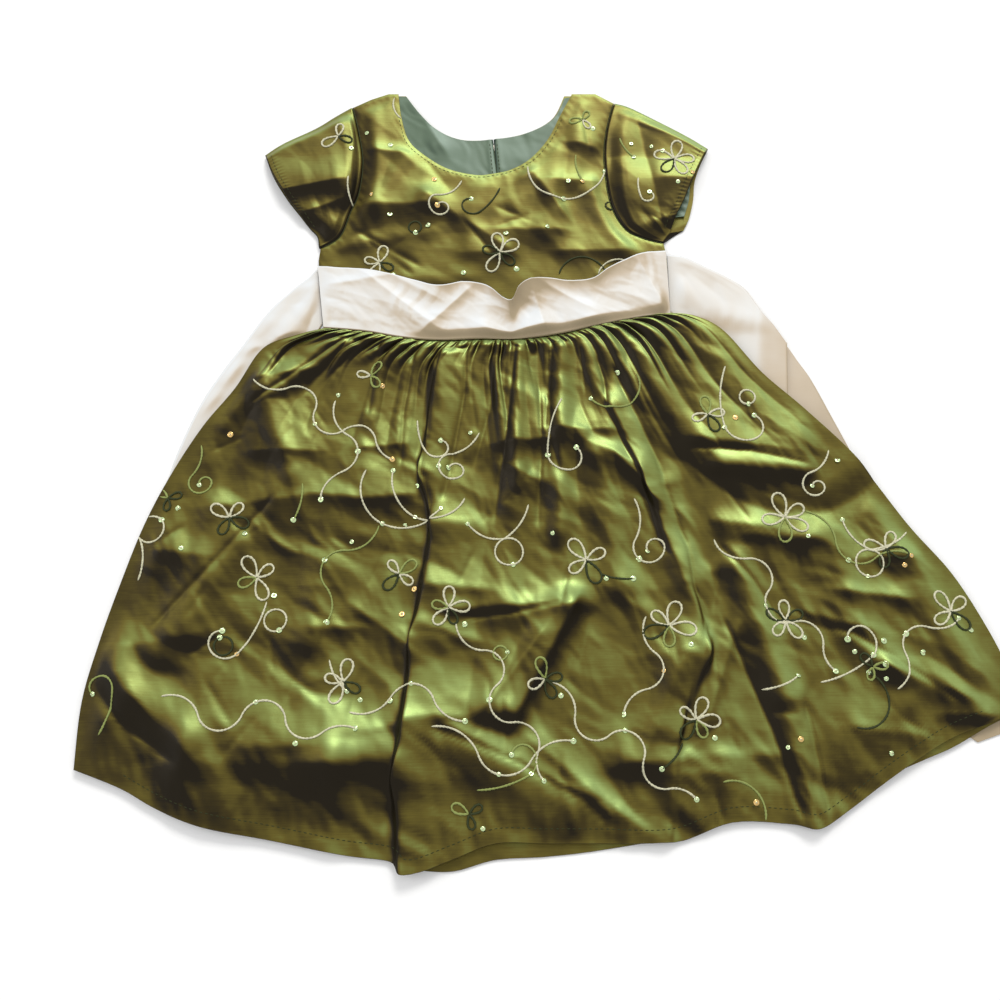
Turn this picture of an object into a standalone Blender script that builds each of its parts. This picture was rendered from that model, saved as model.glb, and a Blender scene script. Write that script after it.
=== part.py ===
# Toddler's party dress of shot taffeta, laid flat on its back with the sash ties out.
# Sizes are millimetres until a mesh is made. X runs across, +Y to the neck, Z up.
# Left and right are as seen from above with the neck at the top.
import math

import bpy
from mathutils.geometry import delaunay_2d_cdt

MM = 0.001

# Cloth walls, and the clearances that keep two pieces apart.
WALL = 1.2
LINING_WALL = 1.0
SEAM_GAP = 0.4
LAYER_GAP = 0.35

# The origin is the middle of the laid dress, on the surface that it rests on.
CENTRE_X = 31.99
CENTRE_Y = 45.99

# Levels of the laid layers: the back lies on the surface and the front on the back.
BACK_TOP = WALL
FRONT_LEVEL = BACK_TOP + LAYER_GAP
LINING_LEVEL = BACK_TOP + LAYER_GAP
OVER_LINING = LINING_LEVEL + LINING_WALL + LAYER_GAP

# Waist seam, from the left side seam to the right one.
# columns: x, y
WAIST = [
    (-132, 134),
    (-101, 131),
    (-73, 126),
    (-44, 124),
    (-15, 125),
    (13, 125),
    (43, 129),
    (72, 136),
    (101, 142),
    (128, 145),
]

# Front and back necklines, from the left neck point to the right one.
# columns: x, y
NECK_FRONT = [
    (-82, 344),
    (-79, 322),
    (-73, 301),
    (-62, 288),
    (-42, 274),
    (-20, 268),
    (-6, 269),
    (9, 273),
    (24, 283),
    (38, 301),
    (48, 323),
    (58, 344),
]
NECK_BACK = [
    (-76, 344),
    (-64, 326),
    (-50, 311),
    (-29, 302),
    (-3, 303),
    (22, 309),
    (42, 322),
    (52, 344),
]
SLIT_TOP = (-5.5, 303)
SLIT_LOW = (-2.0, 262)

# Shoulder seams, from the armhole to the neck.
SHOULDER_LEFT = [(-119, 331), (-104, 338.5), (-90, 344)]
SHOULDER_RIGHT = [(77, 344), (92, 335)]

# Armhole seams, from the shoulder down to the side seam.
# columns: x, y
ARMHOLE_LEFT = [
    (-119, 331),
    (-113, 306),
    (-109, 280),
    (-111, 252),
    (-117, 234),
    (-124, 213),
    (-138, 202.5),
]
ARMHOLE_RIGHT = [
    (92, 335),
    (86, 312),
    (83, 288),
    (84, 262),
    (88, 238),
    (98, 219),
    (112, 211),
    (126, 207),
]

# Sleeves: the fold along the top, the cuff edges and the underarm seam.
# columns: x, y
SLEEVE_TOP_LEFT = [(-119, 331), (-132, 322), (-147, 311), (-172, 297), (-186, 286)]
CUFF_LEFT = [(-186, 286), (-178, 266), (-166, 246), (-155, 231), (-146.5, 219.5)]
UNDERARM_LEFT = [(-139.2, 203.5), (-141, 213), (-146.5, 219.5)]
SLEEVE_TOP_RIGHT = [(92, 335), (104, 331), (131, 315), (150, 303), (165, 292)]
CUFF_RIGHT_FRONT = [(165, 292), (157, 276), (149, 258), (143, 243), (136, 229), (131, 216)]
CUFF_RIGHT_BACK = [(165, 292), (158, 277), (153, 262), (151, 246), (147, 230), (142, 219)]
UNDERARM_RIGHT_FRONT = [(126.6, 208), (128.5, 212), (131, 216)]
UNDERARM_RIGHT_BACK = [(126.6, 208), (133, 213), (142, 219)]
SLEEVE_HEIGHT = 5.0

# Outline of the skirt: one row a section from the waist seam to the hem.
# columns: share of the way down, left x, left y, right x, right y
SKIRT_EDGES = [
    (0.00, -132, 133.6, 128, 144.6),
    (0.07, -152, 128, 146, 142),
    (0.16, -176, 117, 166, 130),
    (0.26, -194, 85, 192, 96),
    (0.38, -215, 55, 222, 66),
    (0.50, -235, 17, 256, 28),
    (0.62, -250, -20, 287, -20),
    (0.74, -262, -62, 313, -55),
    (0.85, -272, -103, 332, -93),
    (0.93, -279, -143, 342, -122),
    (1.00, -279, -187, 343, -150),
]
# Hems. The back hem shows below the front one in two places.
# columns: x, front y, back y
HEM = [
    (-279, -187, -185),
    (-247, -199, -195),
    (-222, -212, -208),
    (-192, -223, -219),
    (-148, -231, -227),
    (-101, -240, -236),
    (-70, -244, -241),
    (-58, -252, -248),
    (-31, -243, -250),
    (-3, -233, -243),
    (30, -233, -241),
    (65, -233, -237),
    (111, -233, -229),
    (150, -220, -216),
    (188, -221, -217),
    (206, -224, -220),
    (227, -212, -208),
    (253, -194, -192),
    (278, -178, -181),
    (300, -166, -172),
    (324, -157, -159),
    (343, -150, -150),
]

# Gathers of the front skirt.
GATHERS = 33
GATHER_SEAM_RISE = 1.3
GATHER_RISE = 4.6
SKIRT_ROWS = [0.0, 0.025, 0.06, 0.11, 0.18, 0.27, 0.37, 0.48, 0.6, 0.72, 0.83, 0.92, 1.0]

# Largest folds of the front skirt. Widths lie to the left and right of the way
# from the first end to the second, so unequal ones make an overlapping pleat.
# columns: first x, first y, second x, second y, left width, right width, height
SKIRT_FOLDS = [
    (-116, 122, -173, 77, 9, 12, 5.0),
    (-173, 77, -150, 20, 12, 12, 4.0),
    (-42, 110, -51, 20, 22, 5, 6.5),
    (-51, 20, -42, -20, 24, 5, 6.0),
    (-42, -20, -53, -101, 26, 6, 7.0),
    (-53, -101, -62, -193, 30, 6, 7.5),
    (-62, -193, -60, -252, 30, 6, 6.5),
    (12, 118, 12, 10, 8, 8, 6.0),
    (45, 120, 42, -20, 9, 8, 5.5),
    (12, 10, -6, -146, 13, 16, 4.5),
    (48, -78, 4, -146, 12, 14, 6.0),
    (86, 70, 112, 10, 14, 7, 7.0),
    (112, 10, 128, -60, 14, 7, 6.5),
    (158, 23, 214, 20, 10, 9, 5.0),
    (128, -44, 134, -109, 7, 18, 6.0),
    (134, -109, 112, -162, 7, 20, 6.0),
    (112, -162, 104, -232, 7, 20, 4.0),
    (163, -50, 190, -141, 12, 12, 7.0),
    (190, -141, 203, -221, 12, 12, 6.0),
    (-41, -163, 50, -210, 14, 18, 5.5),
    (50, -210, 100, -230, 10, 16, 3.5),
    (-263, -120, -205, -165, 16, 14, 5.0),
    (-185, -35, -228, -110, 14, 16, 4.5),
    (-100, 20, -130, -100, 16, 16, 4.0),
    (-120, -185, -85, -175, 12, 14, 4.0),
    (70, 30, 84, -60, 12, 14, 4.0),
    (225, -30, 270, -140, 18, 18, 4.0),
    (265, -10, 318, -120, 14, 16, 3.0),
]

# Soft folds of the front bodice, the same columns.
BODICE_FOLDS = [
    (-100, 318, -96, 240, 8, 10, 3.2),
    (-70, 285, -110, 225, 8, 9, 2.8),
    (-45, 262, -70, 205, 9, 10, 2.6),
    (-15, 258, -25, 205, 9, 9, 2.4),
    (20, 268, 10, 205, 9, 8, 2.6),
    (45, 285, 35, 215, 9, 10, 3.2),
    (66, 330, 58, 262, 7, 8, 3.0),
    (70, 250, 96, 203, 9, 10, 3.4),
    (-120, 205, -60, 215, 8, 7, 2.4),
]

# Sash band over the front waist: one row a section.
# columns: x at its foot, x at its top, top y, height of the top edge, bulge
SASH = [
    (-132, -139, 186, 0.4, 0.6),
    (-122, -128, 185, 1.0, 1.6),
    (-100, -103, 183, 1.5, 2.4),
    (-84, -86, 179, 2.0, 2.6),
    (-68, -66, 173, 3.0, 2.4),
    (-54, -52, 168, 4.5, 2.0),
    (-42, -42, 167, 5.5, 2.4),
    (-28, -28, 170, 5.0, 3.2),
    (-14, -14, 168, 6.0, 3.0),
    (-6, -6, 163, 8.0, 1.6),
    (2, 2, 155, 9.0, 0.8),
    (9, 9, 152, 11.0, 0.8),
    (15, 14, 162, 12.0, 1.5),
    (22, 22, 169, 10.0, 2.4),
    (36, 36, 172, 7.0, 3.4),
    (54, 53, 171, 5.0, 3.4),
    (70, 70, 173, 5.0, 3.0),
    (84, 82, 182, 5.0, 2.6),
    (98, 96, 190, 4.0, 2.4),
    (114, 111, 197, 2.0, 1.8),
    (128, 127, 199.5, 0.4, 0.6),
]
SASH_LEVEL = FRONT_LEVEL + WALL + LAYER_GAP

# Sash ties: one row a section, from the side seam to the free end. The left one
# goes out and straight down under the skirt. The right one has a tuck.
# columns: outer x, outer y, inner x, inner y, level of the underside
TIE_LEFT = [
    (-139.6, 186, -133.6, 139, 0.0),
    (-146, 178, -138, 130, 0.0),
    (-157, 168, -141, 121, 0.0),
    (-175, 148, -148, 104, 0.0),
    (-193, 119, -152, 86, 0.0),
    (-205, 100, -158, 72, 0.0),
    (-218, 76, -168, 52, 0.0),
    (-229, 47, -176, 30, 0.0),
    (-237, 18, -183, 6, 0.0),
    (-242, -20, -188, -25, 0.0),
    (-244, -70, -190, -72, 0.0),
    (-243, -120, -189, -119, 0.0),
    (-240, -165, -186, -160, 0.0),
]
TUCK_TOP = 3.1
TUCK_MIDDLE = 1.55
TIE_RIGHT = [
    (128.6, 198, 128.6, 149, 0.0),
    (139, 197, 139, 141, 0.0),
    (156, 188, 148, 130, 0.0),
    (172, 179, 160, 117, 0.0),
    (185, 169, 172, 102, 0.6),
    (193, 155, 181, 92, 2.1),
    (197, 147, 189, 84, TUCK_TOP),
    (205, 136, 198, 76, TUCK_TOP),
    (213, 122, 209, 67, TUCK_TOP),
    (207, 128, 197.5, 69, TUCK_MIDDLE),
    (201, 133, 186, 70.5, TUCK_MIDDLE),
    (205, 130, 187.5, 68.5, 0.0),
    (213, 122, 188.5, 66.5, 0.0),
    (221, 108, 189, 64.5, 0.0),
    (230, 92, 189.5, 61, 0.0),
    (243, 61, 195, 40, 0.0),
    (259, 23, 211, 2, 0.0),
    (281, -25, 233, -46, 0.0),
    (303, -74, 255, -95, 0.0),
    (322, -117, 274, -138, 0.0),
    (343.5, -160, 317, -169, 0.0),
]
TIE_ACROSS = 4

# Centre-back zip: its strip fills the gap between the two back halves.
ZIP_WIDTH = 3.4
ZIP_LOW = 125.5
ZIP_TOP = 292.0
SLIDER_LENGTH = 8.0

# Name, colour as red, green and blue, roughness, metallic.
TAFFETA = ("shot_taffeta", (0.16, 0.15, 0.035), 0.38, 0.25)
TEAL_SATIN = ("teal_lining", (0.20, 0.30, 0.22), 0.45, 0.1)
IVORY_SATIN = ("ivory_satin", (0.80, 0.73, 0.66), 0.4, 0.0)
ZIP_TAPE = ("zip_nylon", (0.09, 0.10, 0.03), 0.55, 0.0)
SLIDER_METAL = ("zip_metal", (0.45, 0.42, 0.36), 0.35, 1.0)


def clear_scene():
    for item in list(bpy.data.objects):
        bpy.data.objects.remove(item, do_unlink=True)
    for mesh in list(bpy.data.meshes):
        bpy.data.meshes.remove(mesh)


def smoothstep(value):
    value = min(1.0, max(0.0, value))
    return value * value * (3.0 - 2.0 * value)


def spline_point(before, start, end, after, t):
    result = []
    for a, b, c, d in zip(before, start, end, after):
        slope_in = 0.5 * (c - a)
        slope_out = 0.5 * (d - b)
        value = b + t * slope_in
        value += t * t * (3.0 * (c - b) - 2.0 * slope_in - slope_out)
        value += t * t * t * (2.0 * (b - c) + slope_in + slope_out)
        result.append(value)
    return tuple(result)


def smooth_line(points, steps=8):
    line = []
    last = len(points) - 1
    for index in range(last):
        before = points[max(0, index - 1)]
        after = points[min(last, index + 2)]
        for step in range(steps):
            line.append(spline_point(before, points[index], points[index + 1], after, step / steps))
    line.append(tuple(float(value) for value in points[last]))
    return line


def along(points, count):
    """Evenly spaced points on a smooth line through the given ones."""
    line = smooth_line(points)
    lengths = [0.0]
    for first, second in zip(line, line[1:]):
        lengths.append(lengths[-1] + math.dist(first[:2], second[:2]))
    result = []
    index = 0
    for step in range(count + 1):
        target = lengths[-1] * step / count
        while index < len(lengths) - 2 and lengths[index + 1] < target:
            index += 1
        span = lengths[index + 1] - lengths[index]
        share = (target - lengths[index]) / span if span > 0 else 0.0
        first = line[index]
        second = line[index + 1]
        result.append(tuple(a + (b - a) * share for a, b in zip(first, second)))
    return result


def value_at(rows, key, column):
    """Reads a column of a table at a place between its rows."""
    if key <= rows[0][0]:
        return rows[0][column]
    for first, second in zip(rows, rows[1:]):
        if key <= second[0]:
            share = (key - first[0]) / (second[0] - first[0])
            return first[column] + (second[column] - first[column]) * share
    return rows[-1][column]


def segment_place(x, y, x0, y0, x1, y1):
    """Share along a segment, and the signed distance to its left."""
    length = math.hypot(x1 - x0, y1 - y0)
    share = ((x - x0) * (x1 - x0) + (y - y0) * (y1 - y0)) / (length * length)
    side = ((x1 - x0) * (y - y0) - (y1 - y0) * (x - x0)) / length
    return share, side, length


def fold_rise(x, y, folds):
    rise = 0.0
    for x0, y0, x1, y1, left, right, height in folds:
        share, side, length = segment_place(x, y, x0, y0, x1, y1)
        width = left if side > 0 else right
        beyond = max(0.0, -share, share - 1.0) * length
        fade = math.exp(-((side / width) ** 2)) * math.exp(-((beyond / 14.0) ** 2))
        rise = max(rise, height * fade) + 0.25 * min(rise, height * fade)
    return rise


def distance_to_line(x, y, line):
    nearest = 1.0e9
    for first, second in zip(line, line[1:]):
        dx = second[0] - first[0]
        dy = second[1] - first[1]
        size = dx * dx + dy * dy
        share = ((x - first[0]) * dx + (y - first[1]) * dy) / size if size > 0 else 0.0
        share = min(1.0, max(0.0, share))
        nearest = min(nearest, math.hypot(x - first[0] - share * dx, y - first[1] - share * dy))
    return nearest


def inside(x, y, loop):
    hit = False
    for first, second in zip(loop, loop[1:] + loop[:1]):
        if (first[1] > y) != (second[1] > y):
            cross = first[0] + (y - first[1]) * (second[0] - first[0]) / (second[1] - first[1])
            if x < cross:
                hit = not hit
    return hit


def distance_to_shape(x, y, loop):
    if inside(x, y, loop):
        return 0.0
    return distance_to_line(x, y, loop + loop[:1])


def strip_outline(rows):
    outer = [(row[0], row[1]) for row in rows]
    inner = [(row[2], row[3]) for row in rows]
    return outer + inner[::-1]


# The stretches of tie that lie under the skirt, and the tuck where three plies lie.
UNDER_TIES = [
    (strip_outline(TIE_LEFT), WALL + LAYER_GAP),
    (strip_outline(TIE_RIGHT[:9]), WALL + LAYER_GAP),
    (strip_outline(TIE_RIGHT[11:]), WALL + LAYER_GAP),
    (strip_outline(TIE_RIGHT[4:9]), TUCK_TOP + WALL + LAYER_GAP),
]


def tie_lift(x, y, spread):
    """How far the skirt rides up where a tie lies under it."""
    lift = 0.0
    for outline, height in UNDER_TIES:
        away = distance_to_shape(x, y, outline)
        fall = 24.0 if height < 3.0 else 34.0
        lift = max(lift, height * (1.0 - smoothstep((away - spread) / fall)))
    return lift


def material(spec):
    name, colour, roughness, metallic = spec
    found = bpy.data.materials.get(name)
    if found:
        return found
    made = bpy.data.materials.new(name)
    made.use_nodes = True
    shader = made.node_tree.nodes["Principled BSDF"]
    shader.inputs["Base Color"].default_value = (*colour, 1.0)
    shader.inputs["Roughness"].default_value = roughness
    shader.inputs["Metallic"].default_value = metallic
    made.diffuse_color = (*colour, 1.0)
    return made


def add_object(name, points, faces, spec):
    scaled = []
    for x, y, z in points:
        scaled.append(((x - CENTRE_X) * MM, (y - CENTRE_Y) * MM, z * MM))
    mesh = bpy.data.meshes.new(name)
    mesh.from_pydata(scaled, [], faces)
    mesh.validate()
    mesh.update()
    mesh.materials.append(material(spec))
    mesh.polygons.foreach_set("use_smooth", [True] * len(mesh.polygons))
    made = bpy.data.objects.new(name, mesh)
    bpy.context.scene.collection.objects.link(made)
    return made


def rim_faces(triangles, shift):
    """Closes the sides between an upper face and a lower one numbered on from it."""
    edges = set()
    for a, b, c in triangles:
        edges.update([(a, b), (b, c), (c, a)])
    faces = []
    for a, b in edges:
        if (b, a) not in edges:
            faces.append((b, a, a + shift))
            faces.append((b, a + shift, b + shift))
    return sorted(faces)


def wall_between(name, upper, lower, triangles, spec):
    shift = len(upper)
    faces = [tuple(face) for face in triangles]
    faces += [(c + shift, b + shift, a + shift) for a, b, c in triangles]
    faces += rim_faces(triangles, shift)
    return add_object(name, list(upper) + list(lower), faces, spec)


def flat_triangles(outline, spacing):
    """Triangles over an outline, with a staggered grid of points inside it."""
    points = [(float(x), float(y)) for x, y in outline]
    count = len(points)
    edge = points + points[:1]
    low_x = min(x for x, y in points)
    high_x = max(x for x, y in points)
    low_y = min(y for x, y in points)
    high_y = max(y for x, y in points)
    rise = spacing * 0.866
    row = 0
    y = low_y + rise * 0.5
    while y < high_y:
        x = low_x + spacing * (0.5 if row % 2 else 0.25)
        while x < high_x:
            if inside(x, y, points[:count]) and distance_to_line(x, y, edge) > spacing * 0.45:
                points.append((x, y))
            x += spacing
        y += rise
        row += 1
    edges = [(index, (index + 1) % count) for index in range(count)]
    found = delaunay_2d_cdt(points, edges, [], 1, 0.0001)
    places = [(point[0], point[1]) for point in found[0]]
    triangles = []
    for face in found[2]:
        a, b, c = face
        turn = (places[b][0] - places[a][0]) * (places[c][1] - places[a][1])
        turn -= (places[b][1] - places[a][1]) * (places[c][0] - places[a][0])
        triangles.append((a, b, c) if turn > 0 else (a, c, b))
    return places, triangles


def cloth_panel(name, outline, level, wall, spacing, spec):
    """A panel whose underside follows a level worked out at each point."""
    places, triangles = flat_triangles(outline, spacing)
    lower = []
    upper = []
    for x, y in places:
        z = level(x, y)
        lower.append((x, y, z))
        upper.append((x, y, z + wall))
    return wall_between(name, upper, lower, triangles, spec)


def grid_triangles(rows, columns):
    triangles = []
    for row in range(rows - 1):
        for column in range(columns - 1):
            a = row * columns + column
            b = a + 1
            c = a + columns
            d = c + 1
            triangles.append((a, c, d))
            triangles.append((a, d, b))
    return triangles


def patch(top, low, left, right, u, v):
    """A point inside four edge lines, each read at its own share."""
    x = (1 - v) * top[0] + v * low[0] + (1 - u) * left[0] + u * right[0]
    y = (1 - v) * top[1] + v * low[1] + (1 - u) * left[1] + u * right[1]
    return x, y


def inset_loop(loop, distance):
    """Moves a closed outline inwards, with the outline running anticlockwise."""
    result = []
    count = len(loop)
    for index in range(count):
        before = loop[index - 1]
        after = loop[(index + 1) % count]
        dx = after[0] - before[0]
        dy = after[1] - before[1]
        size = math.hypot(dx, dy)
        result.append((loop[index][0] - dy / size * distance, loop[index][1] + dx / size * distance))
    return result


def without_ends(points):
    return points[1:-1]


def bodice_outline():
    """The front bodice, anticlockwise from the left end of the waist seam."""
    loop = along(WAIST, 24)
    loop += [(128, 160), (128, 175), (128, 190)]
    loop += along(ARMHOLE_RIGHT, 12)[::-1]
    loop += SHOULDER_RIGHT[:1]
    loop += along(NECK_FRONT, 26)[::-1]
    loop += SHOULDER_LEFT[::-1][:2]
    loop += along(ARMHOLE_LEFT, 12)
    loop += [(-139, 192), (-137.4, 178), (-135.4, 163), (-133.6, 148)]
    return loop


def back_loop():
    """Both back halves as one outline, anticlockwise from the left end of the waist."""
    loop = along(WAIST, 24)
    loop += [(128, 160), (128, 175), (128, 190)]
    loop += along(ARMHOLE_RIGHT, 12)[::-1]
    loop += SHOULDER_RIGHT[:1]
    loop += along(NECK_BACK, 20)[::-1]
    loop += SHOULDER_LEFT[::-1][:2]
    loop += along(ARMHOLE_LEFT, 12)
    loop += [(-139, 192), (-137.4, 178), (-135.4, 163), (-133.6, 148)]
    return loop


def split_x(y):
    """The line down the centre back."""
    if y > SLIT_LOW[1]:
        share = (y - SLIT_LOW[1]) / (SLIT_TOP[1] - SLIT_LOW[1])
        return SLIT_LOW[0] + (SLIT_TOP[0] - SLIT_LOW[0]) * share
    return SLIT_LOW[0]


def half_outline(loop, side, gap):
    """One half of an outline that crosses the centre back twice."""
    kept = []
    count = len(loop)
    for index in range(count):
        here = loop[index]
        ahead = loop[(index + 1) % count]
        here_side = (here[0] - split_x(here[1])) * side - gap
        ahead_side = (ahead[0] - split_x(ahead[1])) * side - gap
        if here_side > 0.5:
            kept.append(here)
        if (here_side > 0.5) != (ahead_side > 0.5):
            share = here_side / (here_side - ahead_side)
            y = here[1] + (ahead[1] - here[1]) * share
            kept.append((split_x(y) + side * gap, y))
            if here_side > 0.5:
                kept.append((SLIT_LOW[0] + side * gap, SLIT_LOW[1]))
    return kept


def over_lining(x, y, neck):
    away = distance_to_line(x, y, neck)
    return (OVER_LINING - FRONT_LEVEL) * (1.0 - smoothstep((away - 26.0) / 22.0))


def make_bodice_front():
    neck = along(NECK_FRONT, 24)
    outline = inset_loop(bodice_outline(), 0.5 * SEAM_GAP)
    edge = outline + outline[:1]

    def level(x, y):
        fade = smoothstep(distance_to_line(x, y, edge) / 15.0) * smoothstep((y - 192.0) / 16.0)
        return FRONT_LEVEL + over_lining(x, y, neck) + fade * fold_rise(x, y, BODICE_FOLDS)

    cloth_panel("bodice_front", outline, level, WALL, 11.0, TAFFETA)


def make_bodice_back():
    outline = inset_loop(back_loop(), 0.5 * SEAM_GAP)
    gap = 0.5 * ZIP_WIDTH + SEAM_GAP
    for name, side in (("bodice_back_left", -1), ("bodice_back_right", 1)):
        cloth_panel(name, half_outline(outline, side, gap), lambda x, y: 0.0, WALL, 26.0, TAFFETA)


def lining_loop():
    """Back neck lining: shows in the neck opening and runs on under the front."""
    loop = [(-92, 336), (-90, 318), (-84, 300), (-74, 282), (-54, 264), (-24, 254)]
    loop += [(-6, 253.5), (14, 258), (34, 271), (49, 293), (59, 317), (68, 337)]
    loop += [(62, 342.5)]
    loop += inset_loop(along(NECK_BACK, 20)[::-1], 1.2)[1:-1]
    loop += [(-84, 342.5)]
    return loop


def make_back_lining():
    loop = lining_loop()
    for name, side in (("back_lining_left", -1), ("back_lining_right", 1)):
        half = half_outline(loop, side, 0.35)
        cloth_panel(name, half, lambda x, y: LINING_LEVEL, LINING_WALL, 16.0, TEAL_SATIN)


def sleeve_height(a, b, cuff_level):
    """Level of the outside of the front ply over a flattened sleeve."""
    low = 2.0 * WALL + LAYER_GAP
    swell = smoothstep(b / 0.14) * smoothstep((1.0 - b) / 0.14)
    rise = SLEEVE_HEIGHT * (0.35 + 0.65 * math.sin(math.pi * min(1.0, 0.15 + 0.8 * b)))
    rise *= 0.45 + 0.55 * math.sin(math.pi * (0.12 + 0.7 * a))
    pleat = 1.1 * math.sin(2 * math.pi * (2.2 * b + 0.4 * a)) * math.sin(math.pi * min(1, a + 0.15))
    seat = 0.25 + 0.75 * smoothstep(a / 0.18)
    return low + swell * (seat * (rise + pleat) + cuff_level * smoothstep((a - 0.35) / 0.25))


def point_at(line, share):
    """Point at a share of the way along an evenly spaced line."""
    place = share * (len(line) - 1)
    index = min(int(place), len(line) - 2)
    rest = place - index
    return tuple(a + (b - a) * rest for a, b in zip(line[index], line[index + 1]))


def make_sleeve(name, armhole, top, cuffs, underarms, outward, cuff_level):
    """A flattened tube: rings run from the armhole to the cuff."""
    stations = 8
    across = 10
    seams = along(armhole, 12)
    moved = []
    for index, (x, y) in enumerate(seams):
        before = seams[max(0, index - 1)]
        after = seams[min(12, index + 1)]
        dx = after[0] - before[0]
        dy = after[1] - before[1]
        size = math.hypot(dx, dy)
        moved.append((x + outward * abs(dy) / size * SEAM_GAP * 1.5, y - outward * dx / size * 0.2))
    seam_line = along(moved, across * 4)
    top_line = along(top, stations)
    points = []
    for station in range(stations + 1):
        a = station / stations
        front = []
        back = []
        for side, cuff, underarm in zip((front, back), cuffs, underarms):
            mouth_line = along(cuff, across * 4)
            corner_a = top_line[0]
            corner_b = top_line[-1]
            corner_c = moved[-1]
            corner_d = mouth_line[-1]
            upper = top_line[station]
            under = along(underarm, stations)[station]
            lap = math.dist(under, along(underarms[0], stations)[station])
            width = math.dist(upper, under)
            for first, last in ((0.0, 1.0), (WALL / width, 1.0 - (WALL + lap) / width)):
                for step in range(across + 1):
                    b = first + (last - first) * step / across
                    seam = point_at(seam_line, b)
                    mouth = point_at(mouth_line, b)
                    x = (1 - a) * seam[0] + a * mouth[0] + (1 - b) * upper[0] + b * under[0]
                    x -= (1 - a) * ((1 - b) * corner_a[0] + b * corner_c[0])
                    x -= a * ((1 - b) * corner_b[0] + b * corner_d[0])
                    y = (1 - a) * seam[1] + a * mouth[1] + (1 - b) * upper[1] + b * under[1]
                    y -= (1 - a) * ((1 - b) * corner_a[1] + b * corner_c[1])
                    y -= a * ((1 - b) * corner_b[1] + b * corner_d[1])
                    side.append((x, y, sleeve_height(a, step / across, cuff_level)))
        count = across + 1
        outer = front[:count] + [(x, y, 0.0) for x, y, z in back[:count]][::-1]
        inner = [(x, y, z - WALL) for x, y, z in front[count:]]
        inner += [(x, y, WALL) for x, y, z in back[count:]][::-1]
        points += outer + inner
    loop = 2 * (across + 1)
    ring_size = 2 * loop
    faces = []
    for station in range(stations):
        base = station * ring_size
        for step in range(loop):
            ahead = (step + 1) % loop
            a, b = base + step, base + ahead
            c, d = a + ring_size, b + ring_size
            faces += [(a, c, d), (a, d, b)]
            faces += [(a + loop, d + loop, c + loop), (a + loop, b + loop, d + loop)]
    for base, flip in ((0, False), (stations * ring_size, True)):
        for step in range(loop):
            ahead = (step + 1) % loop
            a, b = base + step, base + ahead
            end = [(a, b, b + loop), (a, b + loop, a + loop)]
            faces += [face[::-1] for face in end] if flip else end
    if outward > 0:
        faces = [face[::-1] for face in faces]
    add_object(name, points, faces, TAFFETA)


def make_sleeves():
    make_sleeve(
        "sleeve_left", ARMHOLE_LEFT, SLEEVE_TOP_LEFT, (CUFF_LEFT, CUFF_LEFT),
        (UNDERARM_LEFT, UNDERARM_LEFT), -1, 0.0)
    make_sleeve(
        "sleeve_right", ARMHOLE_RIGHT, SLEEVE_TOP_RIGHT, (CUFF_RIGHT_FRONT, CUFF_RIGHT_BACK),
        (UNDERARM_RIGHT_FRONT, UNDERARM_RIGHT_BACK), 1, 1.6)
    loop = [(150, 284), (146, 270), (141, 254), (137, 240), (134, 230)]
    loop += [(143, 231), (147.5, 246), (149.5, 262), (154.5, 277)]
    cloth_panel(
        "sleeve_lining_right", loop, lambda x, y: LINING_LEVEL, LINING_WALL, 14.0, TEAL_SATIN)


def gather_bounds():
    """Unevenly spaced valleys of the gathers, as shares of the waist seam."""
    bounds = []
    for index in range(GATHERS + 1):
        shake = 0.0
        if 0 < index < GATHERS:
            shake = 0.2 * math.sin(2.4 * index) + 0.14 * math.sin(5.1 * index + 1.0)
        bounds.append((index + shake) / GATHERS)
    return bounds


def skirt_columns():
    bounds = gather_bounds()
    columns = []
    for index in range(GATHERS):
        for quarter in range(4):
            share = bounds[index] + (bounds[index + 1] - bounds[index]) * quarter / 4
            size = 0.75 + 0.3 * math.sin(1.7 * index + 0.6)
            columns.append((share, (0.0, 0.5, 1.0, 0.5)[quarter] * size))
    columns.append((1.0, 0.0))
    return columns


def skirt_rise(u, v, x, y, gather):
    """Height of the front skirt's underside over the back skirt."""
    swell = GATHER_SEAM_RISE + (GATHER_RISE - GATHER_SEAM_RISE) * smoothstep(v / 0.06)
    rise = gather * swell * (1.0 - smoothstep((v - 0.06) / 0.36))
    drift = u + 0.012 * math.sin(19.0 * u) + 0.008 * math.sin(31.0 * u + 2.0 * v)
    middle = smoothstep((v - 0.05) / 0.15) * (1.0 - smoothstep((v - 0.3) / 0.4))
    rise += 1.5 * middle * (1.0 - math.cos(2 * math.pi * 16.5 * drift))
    low = smoothstep((v - 0.3) / 0.3) * (1.0 - 0.55 * smoothstep((v - 0.8) / 0.2))
    rise += 1.3 * low * (1.0 - math.cos(2 * math.pi * 8.5 * (drift + 0.05 * v) + 1.0))
    main = fold_rise(x, y, SKIRT_FOLDS) * smoothstep(v / 0.1)
    edge = smoothstep(u / 0.035) * smoothstep((1.0 - u) / 0.035)
    return edge * (max(rise, main) + 0.4 * min(rise, main))


def skirt_edge(v, side):
    rows = [(row[0], row[side], row[side + 1]) for row in SKIRT_EDGES]
    line = smooth_line(rows)
    return value_at(line, v, 1), value_at(line, v, 2)


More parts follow.
